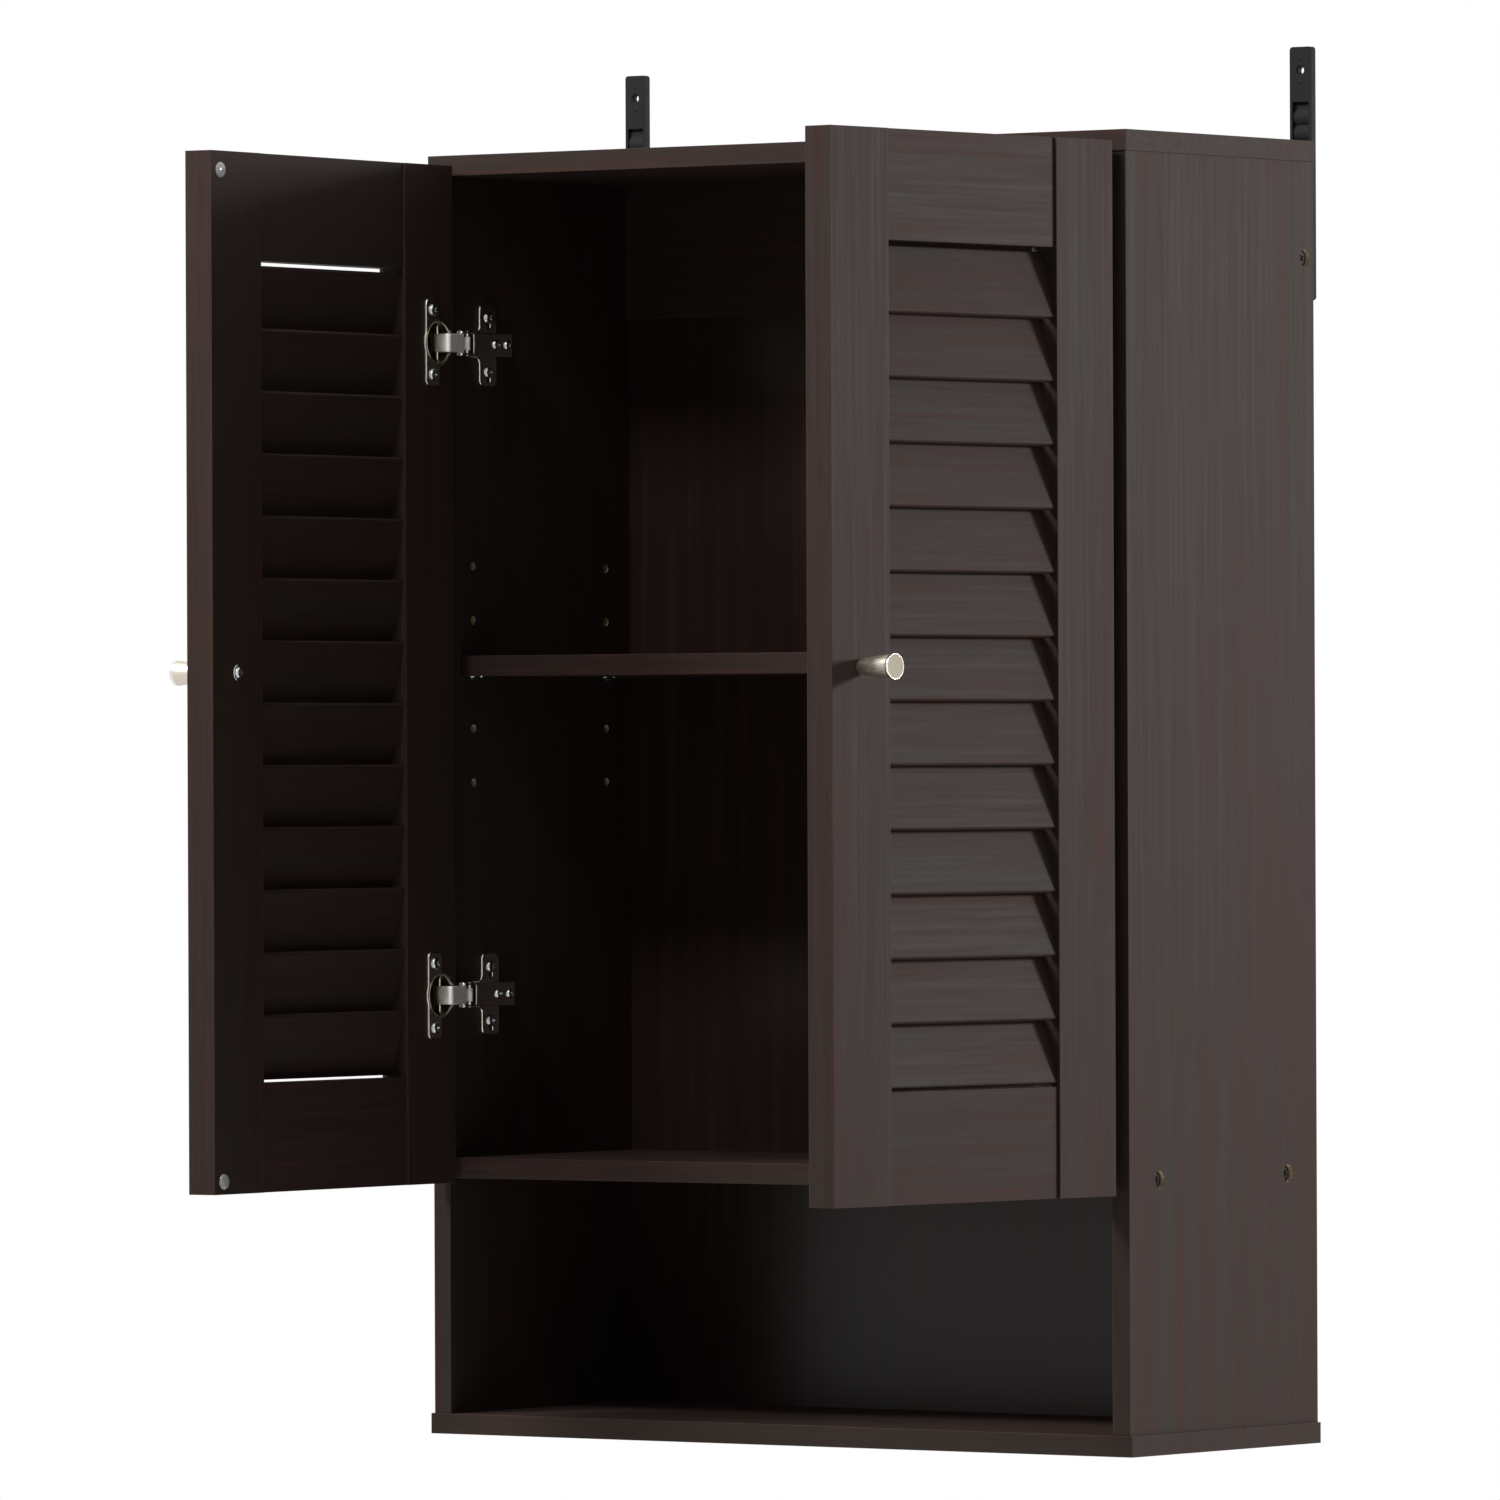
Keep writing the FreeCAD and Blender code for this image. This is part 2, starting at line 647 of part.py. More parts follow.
def end_panel(name, z, side_overhang, front_overhang, underside_out):
    """Top or bottom panel, screwed and dowelled to the ends of the side panels."""
    width = size.cabinet_width + side_overhang * 2
    depth = size.cabinet_depth + front_overhang
    panel = board(name, (-half_width - side_overhang, front_y - front_overhang, z), (width, depth, size.board))
    columns = (side_overhang + size.board / 2, width - side_overhang - size.board / 2)
    screws = [(x, front_overhang + y) for x in columns for y in (front_screw, rear_screw)]
    bore_z = 0 if underside_out else size.board - size.connector_bore_depth
    neck_z = size.connector_bore_depth if underside_out else 0
    panel.cut("Z", bore_z, size.connector_bore_depth, *[circle(x, y, size.connector_bore) for x, y in screws])
    panel.cut("Z", neck_z, neck_length, *[circle(x, y, neck_hole) for x, y in screws])
    dowel_depth = size.dowel_sink + size.fastener_clearance
    dowel_z = size.board - dowel_depth if underside_out else 0
    panel.cut("Z", dowel_z, dowel_depth,
              *[circle(x, front_overhang + middle_dowel, dowel_hole) for x in columns])
    return panel


def end_holes(panel, length, spots, dowel_spots):
    """Screw and dowel holes in both ends of a board between the side panels."""
    for end in (0, length - thread_hole_depth):
        panel.cut("X", end, thread_hole_depth, *[circle(y, z, thread_hole) for y, z in spots])
    for end in (0, length - dowel_reach):
        panel.cut("X", end, dowel_reach, *[circle(y, z, dowel_hole) for y, z in dowel_spots])


def carcass():
    """All boards of the carcass."""
    side_panel()
    end_panel("top_panel", top_z - size.board, size.top_side_overhang, size.top_front_overhang, False).keep()

    bottom = end_panel("bottom_panel", floor_z, size.bottom_side_overhang, size.bottom_front_overhang, True)
    groove_width = size.back_thickness + size.groove_clearance
    groove_length = inner_width + size.groove_depth * 2
    bottom.cut("Z", size.board - size.groove_depth, size.groove_depth,
               rectangle(size.bottom_side_overhang + size.board - size.groove_depth,
                         back_y - front_y + size.bottom_front_overhang - size.groove_clearance / 2,
                         groove_length, groove_width))
    bottom.keep()

    shelf_depth = back_y - front_y
    shelf = board("fixed_shelf", (inner_x, front_y, bay_shelf_z), (inner_width, shelf_depth, size.board))
    middle = size.board / 2
    end_holes(shelf, inner_width, [(front_screw, middle), (rear_screw, middle)], [(middle_dowel, middle)])
    shelf.keep()

    rail = board("hanging_rail", (inner_x, rail_y, rail_z), (inner_width, size.board, size.rail_height))
    rail.cut("Z", 0, size.groove_depth,
             rectangle(0, back_y - rail_y - size.groove_clearance / 2, inner_width, groove_width))
    end_holes(rail, inner_width, [(middle, size.rail_screw_inset)],
              [(middle, size.rail_height - size.rail_screw_inset)])
    rail.keep()

    back_lap = size.groove_depth - size.groove_clearance / 2
    back_foot = floor_z + size.board - back_lap
    board("back_panel", (inner_x - back_lap, back_y, back_foot),
          (inner_width + back_lap * 2, size.back_thickness, rail_z + back_lap - back_foot)).keep()


def adjustable_shelf():
    """Loose shelf with notches that drop over its four pins."""
    depth = back_y - size.shelf_rear_gap - front_y - size.shelf_front_inset
    width = inner_width - size.shelf_end_gap * 2
    underside = floor_z + size.pin_row_height - size.shelf_drop
    shelf = board("adjustable_shelf", (inner_x + size.shelf_end_gap, front_y + size.shelf_front_inset, underside),
                  (width, depth, size.board))
    notch = size.pin_diameter + size.pin_clearance * 2
    notch_length = size.pin_reach - size.shelf_end_gap + size.pin_clearance
    first_pin = size.pin_front_distance - size.shelf_front_inset
    for end in (0, width - notch_length):
        for y in (first_pin, first_pin + size.pin_column_spacing):
            shelf.cut("X", end, notch_length, circle(y, size.shelf_drop, notch))
            shelf.cut("X", end, notch_length, rectangle(y - notch / 2, 0, notch, size.shelf_drop))
    shelf.keep()


def shelf_pins():
    """Four turned pins: shank in the hole, collar against the panel, end under the shelf."""
    radius = size.pin_diameter / 2 - size.pin_clearance / 2
    collar = size.pin_collar_diameter / 2
    seat = size.pin_hole_depth - size.pin_clearance
    nose = radius / 3
    pin = Piece("shelf_pin", (0, 0, 0)).spin(
        (0, seat), (radius - nose, seat), (radius, seat - nose), (radius, 0), (collar, 0),
        (collar, -size.pin_collar_thickness), (radius, -size.pin_collar_thickness),
        (radius, -size.pin_reach + nose), (radius - nose, -size.pin_reach), (0, -size.pin_reach))
    z = floor_z + size.pin_row_height
    rows = (size.pin_front_distance, size.pin_front_distance + size.pin_column_spacing)
    left = copies("shelf_pins_left", pin.body, [(inner_x, front_y + y, z, 90, UPRIGHT) for y in rows])
    both_sides("shelf_pins", left)


def screw(name, head, head_height, shank, length, neck=None, neck_length=None):
    """Turned screw with its head on +Y and its tip along -Y."""
    point = shank / 2
    dome = head_height / 3
    outline = [(0, head_height), (head / 2 - dome, head_height), (head / 2, head_height - dome), (head / 2, 0)]
    if neck is not None:
        outline += [(neck / 2, 0), (neck / 2, -neck_length)]
        outline += [(shank / 2, -neck_length)]
    else:
        outline += [(shank / 2, 0)]
    outline += [(shank / 2, -length + point), (shank / 8, -length), (0, -length)]
    return Piece(name, (0, 0, 0)).spin(*outline).body


def carcass_fasteners():
    """Connector screws and dowels that hold the boards together."""
    connector = screw("connector", size.connector_head, size.connector_head_height, size.connector_thread,
                      size.connector_length, size.connector_neck, neck_length)
    seat_x = -half_width + size.connector_bore_depth
    shelf_z = bay_shelf_z + size.board / 2
    sideways = [(seat_x, front_y + y, shelf_z, 90, UPRIGHT) for y in (front_screw, rear_screw)]
    sideways.append((seat_x, front_y + rail_line, rail_screw_z, 90, UPRIGHT))
    column = -half_width + size.board / 2
    for y in (front_screw, rear_screw):
        sideways.append((column, front_y + y, top_z - size.connector_bore_depth, 90, SIDEWAYS))
        sideways.append((column, front_y + y, floor_z + size.connector_bore_depth, -90, SIDEWAYS))
    both_sides("carcass_screws", copies("carcass_screws_left", connector, sideways))

    both_sides("carcass_dowels", copies(
        "carcass_dowels_left", dowel("carcass_dowel", size.dowel_length, size.dowel_sink), [
            (inner_x, front_y + middle_dowel, shelf_z, 90, UPRIGHT),
            (inner_x, front_y + rail_line, rail_dowel_z, 90, UPRIGHT),
            (column, front_y + middle_dowel, top_z - size.board, 90, SIDEWAYS),
            (column, front_y + middle_dowel, floor_z + size.board, -90, SIDEWAYS),
        ]))


def dowel(name, length, sink):
    """Chamfered dowel along Y: sink on +Y, the rest on -Y."""
    radius = size.dowel_diameter / 2
    chamfer = radius / 3
    return Piece(name, (0, 0, 0)).spin(
        (0, sink), (radius - chamfer, sink), (radius, sink - chamfer),
        (radius, sink - length + chamfer), (radius - chamfer, sink - length), (0, sink - length)).body


# Wall brackets
def wall_bracket():
    """Moulded bracket on the rear edge of a side panel, with its wall hole above the cabinet."""
    foot_z = top_z + size.bracket_rise - size.bracket_height
    bracket = Piece("left_wall_bracket", (-half_width + size.bracket_inset, rear_y, foot_z))
    bracket.add("Y", 0, size.bracket_thickness, rectangle(0, 0, size.bracket_width, size.bracket_height))
    bracket.soften(size.bracket_corner, runs_along("Y"))
    middle = size.bracket_width / 2
    wall_hole_z = size.bracket_height - size.wall_hole_drop
    bracket.cut("Y", 0, size.wall_boss_depth, circle(middle, wall_hole_z, size.wall_boss_diameter))
    bracket.cut("Y", 0, size.bracket_thickness, circle(middle, wall_hole_z, size.wall_hole_diameter))
    room = size.bracket_width - size.bracket_rim * 2
    grips_foot = size.bracket_height - size.grip_drop - size.grip_pitch * size.grip_rows
    recess_height = size.bracket_height - size.recess_drop - grips_foot
    bracket.cut("Y", 0, size.recess_depth, rectangle(size.bracket_rim, grips_foot, room, recess_height))
    half = size.grip_pitch / 2
    swell = size.recess_depth - size.grip_crest
    radius = (half * half + swell * swell) / (swell * 2)
    bracket.add("X", size.bracket_rim, room, circle(size.grip_crest + radius, grips_foot + half, radius * 2))
    bracket.repeat("Z", size.grip_pitch, size.grip_rows)
    bracket.cut("Y", size.bracket_thickness, radius * 2,
                rectangle(0, 0, size.bracket_width, size.bracket_height))
    core_z = size.bracket_height - size.core_drop - size.core_height
    bracket.cut("Y", size.bracket_thickness - size.core_depth, size.core_depth,
                rectangle(size.bracket_rim, core_z, room, size.core_height))
    screw_hole = size.bracket_screw_shank + size.fastener_clearance * 2
    head_hole = size.bracket_screw_head + size.fastener_clearance * 2
    heights = [z - foot_z for z in bracket_screw_heights]
    bracket.cut("Y", 0, size.bracket_thickness, *[circle(middle, z, screw_hole) for z in heights])
    bracket.cut("Y", size.bracket_thickness - size.bracket_screw_head_height, size.bracket_screw_head_height,
                *[circle(middle, z, head_hole) for z in heights])
    both_hands("left_wall_bracket", bracket.body)

    master = screw("bracket_screw", size.bracket_screw_head, size.bracket_screw_head_height,
                   size.bracket_screw_shank, size.bracket_screw_length)
    x = -half_width + size.bracket_inset + middle
    both_sides("bracket_screws", copies("bracket_screws_left", master, [
        (x, -size.bracket_screw_head_height, z, 0, UPRIGHT) for z in bracket_screw_heights]))


# Hinges on the side panel
def hinge_on_side(which, z):
    """Mounting plate and arm of one left hinge; X runs inboard and Y back from the front edge."""
    at = (inner_x, front_y, z)
    half_wing = size.wing_length / 2
    plate = Piece(f"left_{which}_hinge_plate", at)
    half_tongue = size.tongue_width / 2
    wing_front = size.plate_line - size.wing_width / 2
    wing_rear = wing_front + size.wing_width
    plate.add("X", 0, size.wing_thickness, polygon(
        (size.tongue_front, -half_tongue), (wing_front, -half_tongue), (wing_front, -half_wing),
        (wing_rear, -half_wing), (wing_rear, half_wing), (wing_front, half_wing),
        (wing_front, half_tongue), (size.tongue_front, half_tongue)))
    plate.soften(size.wing_corner, runs_along("X"))
    plate.soften(size.wing_rounding, lies_at(size.wing_thickness))
    plate.add("X", 0, size.boss_height,
              rectangle(size.boss_front, -size.boss_width / 2, size.boss_length, size.boss_width))
    plate_hole = size.small_screw_shank + size.fastener_clearance * 2
    slot_tops = [size.plate_screw_spacing * side / 2 for side in (-1, 1)]
    slot_feet = [top - size.plate_slot_reach for top in slot_tops]
    plate.cut("X", 0, size.wing_thickness, *[circle(size.plate_line, top, plate_hole) for top in slot_tops])
    plate.cut("X", 0, size.wing_thickness, *[circle(size.plate_line, foot, plate_hole) for foot in slot_feet])
    plate.cut("X", 0, size.wing_thickness,
              *[rectangle(size.plate_line - plate_hole / 2, foot, plate_hole, size.plate_slot_reach)
                for foot in slot_feet])
    arm_screws = (size.arm_screw_line, size.arm_screw_line + size.arm_screw_spacing)
    tapped = size.arm_screw_shank + size.fastener_clearance * 2
    tapped_start = size.arm_height - size.arm_screw_length - size.fastener_clearance
    plate.cut("X", tapped_start, size.boss_height - tapped_start, *[circle(y, 0, tapped) for y in arm_screws])
    both_hands(plate.name, plate.body)

    half_arm = size.arm_width / 2
    nose_x = size.rear_pin_inboard + size.arm_boss
    nose_y = -size.front_pin_forward - size.arm_boss
    nose_rear = size.rear_pin_back + size.arm_boss
    nose_foot = size.front_pin_inboard - size.arm_boss
    arm = Piece(f"left_{which}_hinge_arm", at)
    arm.add("Z", -half_arm, size.arm_width, polygon(
        (size.arm_floor, size.arm_rear), (size.arm_floor, nose_rear + size.arm_boss),
        (nose_foot, 0), (nose_foot, nose_y), (nose_x, nose_y), (nose_x, nose_rear),
        (size.arm_height, size.arm_web_front), (size.arm_height, size.arm_rear)))
    arm.soften(size.arm_rounding, runs_along("Z"))
    over = size.cut_overrun
    web_x = size.arm_height - size.arm_sheet
    inside = half_arm - size.arm_sheet
    channel_front = size.arm_web_front - size.arm_sheet
    arm.cut("Z", -inside, inside * 2, polygon(
        (0, nose_y - over), (nose_x + over, nose_y - over), (nose_x + over, channel_front),
        (web_x, channel_front), (web_x, size.arm_rear + over), (0, size.arm_rear + over)))
    pin_hole = size.hinge_pin + size.hinge_pin_play * 2
    arm.cut("Z", -half_arm, size.arm_width,
            circle(size.front_pin_inboard, -size.front_pin_forward, pin_hole),
            circle(size.rear_pin_inboard, size.rear_pin_back, pin_hole))
    arm.cut("X", web_x, size.arm_sheet,
            *[circle(y, 0, size.arm_screw_shank + size.fastener_clearance * 2) for y in arm_screws])
    both_hands(arm.name, arm.body)


def hinge_fasteners():
    """Screws and pins of the hinge arms and plates, on both sides."""
    plate_screw = screw("plate_screw", size.small_screw_head, size.small_screw_head_height,
                        size.small_screw_shank, size.small_screw_length)
    arm_screw = screw("arm_screw", size.arm_screw_head, size.arm_screw_head_height,
                      size.arm_screw_shank, size.arm_screw_length)
    plate_places = []
    arm_places = []
    for z in hinge_heights.values():
        for side in (-1, 1):
            plate_places.append((inner_x + size.wing_thickness, front_y + size.plate_line,
                                 z + size.plate_screw_spacing * side / 2, -90, UPRIGHT))
        for y in (size.arm_screw_line, size.arm_screw_line + size.arm_screw_spacing):
            arm_places.append((inner_x + size.arm_height, front_y + y, z, -90, UPRIGHT))
    both_sides("hinge_plate_screws", copies("hinge_plate_screws_left", plate_screw, plate_places))
    both_sides("hinge_arm_screws", copies("hinge_arm_screws_left", arm_screw, arm_places))

    pin_end = size.arm_width / 2 + size.hinge_pin_stand
    stub_start = size.front_link_width / 2 - size.front_link_sheet
    long_pin = Piece("rear_arm_pin", (0, 0, 0)).add("Z", -pin_end, pin_end * 2, circle(0, 0, size.hinge_pin)).body
    stub = Piece("front_arm_pin", (0, 0, 0)).add("Z", stub_start, pin_end - stub_start,
                                                 circle(0, 0, size.hinge_pin)).body
    groups = [copies("rear_arm_pins", long_pin, [(*rear_pin, z, 0, UPRIGHT) for z in hinge_heights.values()]),
              copies("front_arm_pins", stub, [(*front_pin, z, turn, SIDEWAYS)
                                              for z in hinge_heights.values() for turn in (0, HALF_TURN)])]
    both_sides("hinge_arm_pins", gather("hinge_arm_pins_left", groups))


def bend(length, reach, rise, offset, overrun=0):
    """Line beside a bent bar from its arm pin over its elbow to its cup end."""
    first = root(reach * reach + rise * rise)
    rest = length - reach
    second = root(rest * rest + rise * rise)
    first_side = (-rise / first, reach / first)
    second_side = (rise / second, rest / second)
    spread = 1 + first_side[0] * second_side[0] + first_side[1] * second_side[1]
    mitre = [(one + other) / spread for one, other in zip(first_side, second_side)]
    return (
        (first_side[0] * offset - first_side[1] * overrun, first_side[1] * offset + first_side[0] * overrun),
        (reach + mitre[0] * offset, rise + mitre[1] * offset),
        (length + second_side[0] * offset + second_side[1] * overrun,
         second_side[1] * offset - second_side[0] * overrun),
    )


def links():
    """The two links of each hinge; a link's X axis runs from its arm pin to its cup pin."""
    eye = size.front_link_eye
    half = size.front_link_width / 2
    path = (front_link_length, size.front_link_reach, size.front_link_rise)
    inside = half - size.front_link_sheet
    room = size.front_link_room
    pin_hole = size.hinge_pin + size.hinge_pin_play * 2
    front = Piece("left_front_links", (*front_pin, hinge_heights["lower"]), front_link_heading)
    front.add("Z", -half, half * 2, circle(0, 0, eye * 2), circle(front_link_length, 0, eye * 2))
    front.add("Z", -half, half * 2,
              polygon(*bend(*path, -size.front_link_lip), *reversed(bend(*path, room + size.front_link_sheet))))
    front.soften(size.front_link_bend, stands_at(*bend(*path, room + size.front_link_sheet)[1]))
    front.cut("Z", -inside, inside * 2, polygon(
        *bend(*path, room, eye * 2), (front_link_length, -eye * 3), (-eye * 3, -eye * 3)))
    front.cut("Z", -half, half * 2, circle(0, 0, pin_hole), circle(front_link_length, 0, pin_hole))
    front.repeat("Z", hinge_spacing, 2, whole_shape=True)
    both_hands(front.name, front.body)

    cup_end = on_door(size.rear_cup_pin, size.door_thickness - size.rear_cup_pin_depth, 0)
    along_x = cup_end[0] - rear_pin[0]
    along_y = cup_end[1] - rear_pin[1]
    length = root(along_x * along_x + along_y * along_y)
    path = (length, size.rear_link_reach, size.rear_link_rise)
    bar = size.rear_link_sheet / 2
    half = size.rear_link_width / 2
    rear = Piece("left_rear_links", (*rear_pin, hinge_heights["lower"]), heading(along_x, along_y))
    rear.add("Z", -half, half * 2, circle(0, 0, size.rear_link_eye * 2), circle(length, 0, size.rear_link_end))
    rear.add("Z", -half, half * 2, polygon(*bend(*path, -bar), *reversed(bend(*path, bar))))
    rear.cut("Z", -half, half * 2, circle(0, 0, pin_hole))
    rear.repeat("Z", hinge_spacing, 2, whole_shape=True)
    both_hands(rear.name, rear.body)


# Doors
rail_thickness = size.door_thickness - size.rail_front_recess - size.rail_back_recess
opening_height = door_height - size.top_rail_height - size.bottom_rail_height
slat_rise = size.slat_width * cosine(size.slat_tilt)
slat_drop = size.slat_thickness * sine(size.slat_tilt)
slat_foot = size.bottom_rail_height + size.slat_first_gap + slat_drop
slat_steps = (opening_height - size.slat_first_gap - slat_rise - slat_drop) / size.slat_pitch
slat_count = whole(slat_steps) + 1
door_dowel_heights = (
    size.door_dowel_inset, size.bottom_rail_height - size.door_dowel_inset,
    door_height - size.top_rail_height + size.door_dowel_inset, door_height - size.door_dowel_inset,
)
knob_height = door_height / 2
knob_line = door_width - size.knob_inset
hinges_on_door = (size.hinge_foot_rise, door_height - size.hinge_top_drop)


def slat_section(clearance):
    """End view of a slat, sloping up and back from its lower front edge, with room all round."""
    up_y, up_z = sine(size.slat_tilt), cosine(size.slat_tilt)
    back_y_share, back_z_share = cosine(size.slat_tilt), -sine(size.slat_tilt)
    corner_y = size.rail_front_recess - up_y * clearance - back_y_share * clearance
    corner_z = slat_foot - up_z * clearance - back_z_share * clearance
    width = size.slat_width + clearance * 2
    thickness = size.slat_thickness + clearance * 2
    return polygon(
        (corner_y, corner_z),
        (corner_y + back_y_share * thickness, corner_z + back_z_share * thickness),
        (corner_y + back_y_share * thickness + up_y * width, corner_z + back_z_share * thickness + up_z * width),
        (corner_y + up_y * width, corner_z + up_z * width))


def stile(name, x, mortise_x):
    """Upright of a door with its slanted mortises and dowel holes."""
    upright = Piece(name, on_door(0, 0, 0), door_turn)
    upright.add("Z", 0, door_height, rectangle(x, 0, size.stile_width, size.door_thickness))
    upright.cut("X", mortise_x, size.mortise_depth, slat_section(size.mortise_clearance))
    upright.repeat("Z", size.slat_pitch, slat_count)
    depth = size.door_dowel_length / 2 + size.fastener_clearance
    start = size.stile_width - depth if x == 0 else x
    middle = size.rail_front_recess + rail_thickness / 2
    upright.cut("X", start, depth, *[circle(middle, z, dowel_hole) for z in door_dowel_heights])
    return upright


def door_frame():
    """Stiles, rails, slats and dowels of the left door and their twins."""
    hinge_side = stile("left_hinge_stile", 0, size.stile_width - size.mortise_depth)
    bore = size.cup_diameter + size.cup_clearance * 2
    bore_depth = size.cup_depth + size.cup_clearance
    hinge_side.cut("Y", size.door_thickness - bore_depth, bore_depth,
                   *[circle(size.cup_centre, z, bore) for z in hinges_on_door])
    screw_depth = size.small_screw_length - size.flange_thickness + size.fastener_clearance
    screw_hole = size.small_screw_shank + size.fastener_clearance * 2
    screw_spots = [(size.cup_centre + size.flange_offset, z + size.cup_screw_spacing * side / 2)
                   for z in hinges_on_door for side in (-1, 1)]
    hinge_side.cut("Y", size.door_thickness - screw_depth, screw_depth,
                   *[circle(x, z, screw_hole) for x, z in screw_spots])
    both_hands(hinge_side.name, hinge_side.body)

    knob_side = stile("left_knob_stile", door_width - size.stile_width, door_width - size.stile_width)
    knob_side.cut("Y", 0, size.door_thickness,
                  circle(knob_line, knob_height, size.knob_thread + size.fastener_clearance * 2))
    both_hands(knob_side.name, knob_side.body)

    rail_length = door_width - size.stile_width * 2
    rails = {"left_bottom_rail": (0, size.bottom_rail_height),
             "left_top_rail": (door_height - size.top_rail_height, size.top_rail_height)}
    for name, (foot, height) in rails.items():
        rail = Piece(name, on_door(0, 0, 0), door_turn)
        rail.add("Z", foot, height,
                 rectangle(size.stile_width, size.rail_front_recess, rail_length, rail_thickness))
        depth = size.door_dowel_length / 2 + size.fastener_clearance
        spots = [circle(size.rail_front_recess + rail_thickness / 2, z, dowel_hole)
                 for z in (foot + size.door_dowel_inset, foot + height - size.door_dowel_inset)]
        rail.cut("X", size.stile_width, depth, *spots)
        rail.cut("X", door_width - size.stile_width - depth, depth, *spots)
        both_hands(name, rail.body)

    slats = Piece("left_slats", on_door(0, 0, 0), door_turn)
    tenon = size.mortise_depth - size.mortise_clearance
    slats.add("X", size.stile_width - tenon, rail_length + tenon * 2, slat_section(measure(0)))
    slats.soften(size.slat_rounding, runs_along("X"))
    slats.repeat("Z", size.slat_pitch, slat_count, whole_shape=True)
    both_hands(slats.name, slats.body)

    master = dowel("door_dowel", size.door_dowel_length, size.door_dowel_length / 2)
    middle = size.rail_front_recess + rail_thickness / 2
    places = [(*on_door(x, middle, z), 90 - size.open_angle, UPRIGHT)
              for x in (size.stile_width, door_width - size.stile_width) for z in door_dowel_heights]
    both_hands("left_door_dowels", copies("left_door_dowels", master, places))


def door_fittings():
    """Knob, knob screw, bumpers, hinge cups, their screws and pins, on the left door and its twin."""
    knob = Piece("left_knob", on_door(knob_line, 0, knob_height), door_turn)
    face = size.knob_face / 2
    base = size.knob_base / 2
    bore = size.knob_thread / 2 + size.fastener_clearance
    bore_depth = size.knob_screw_reach + size.fastener_clearance
    knob.spin((bore, 0), (base, 0), (base, -size.knob_edge),
              (base * 0.97, -size.knob_length * 0.12), (base * 1.02, -size.knob_length * 0.35),
              (face * 0.86, -size.knob_length * 0.7), (face, -size.knob_length + size.knob_edge * 2),
              (face, -size.knob_length + size.knob_edge), (face - size.knob_edge, -size.knob_length),
              (0, -size.knob_length), (0, -bore_depth), (bore, -bore_depth))
    both_hands(knob.name, knob.body)

    thread = size.knob_thread / 2
    head = size.knob_screw_head / 2
    head_height = size.knob_screw_head_height
    length = size.door_thickness + size.knob_screw_reach
    knob_screw = Piece("left_knob_screw", on_door(knob_line, size.door_thickness, knob_height), door_turn)
    knob_screw.spin((0, head_height), (head * 0.45, head_height), (head * 0.8, head_height * 0.7),
                    (head, head_height * 0.2), (head, 0), (thread, 0), (thread, -length + thread / 2),
                    (thread / 2, -length), (0, -length))
    both_hands(knob_screw.name, knob_screw.body)

    bumpers = Piece("left_bumpers", on_door(door_width - size.bumper_inset, size.door_thickness,
                                            size.bumper_foot_rise), door_turn)
    dome = size.bumper_diameter / 2
    crown = size.bumper_height
    bumpers.spin((0, 0), (dome, 0), (dome, crown * 0.2), (dome * 0.9, crown * 0.55),
                 (dome * 0.65, crown * 0.85), (dome * 0.3, crown), (0, crown))
    bumpers.repeat("Z", door_height - size.bumper_top_drop - size.bumper_foot_rise, 2, whole_shape=True)
    both_hands(bumpers.name, bumpers.body)

    for which, z in zip(("lower", "upper"), hinges_on_door):
        hinge_cup(f"left_{which}_hinge_cup", z)

    cup_screw = screw("cup_screw", size.small_screw_head, size.small_screw_head_height,
                      size.small_screw_shank, size.small_screw_length)
    seat = size.door_thickness + size.flange_thickness
    places = [(*on_door(size.cup_centre + size.flange_offset, seat, z + size.cup_screw_spacing * side / 2),
               door_turn, UPRIGHT) for z in hinges_on_door for side in (-1, 1)]
    both_hands("left_cup_screws", copies("left_cup_screws", cup_screw, places))

    stub_start = size.front_link_width / 2 - size.front_link_sheet
    stub = Piece("cup_pin", (0, 0, 0)).add("Z", stub_start, cup_pin_reach() - stub_start,
                                           circle(0, 0, size.hinge_pin)).body
    pin_spot = (size.front_cup_pin, size.door_thickness - size.front_cup_pin_depth)
    places = [(*on_door(*pin_spot, z), turn, SIDEWAYS) for z in hinges_on_door for turn in (0, HALF_TURN)]
    both_hands("left_cup_pins", copies("left_cup_pins", stub, places))


def cup_pin_reach():
    """From the cup's middle to the middle of its wall, along the pin."""
    radius = (size.cup_diameter - size.cup_wall) / 2
    aside = size.cup_centre - size.front_cup_pin
    return root(radius * radius - aside * aside)


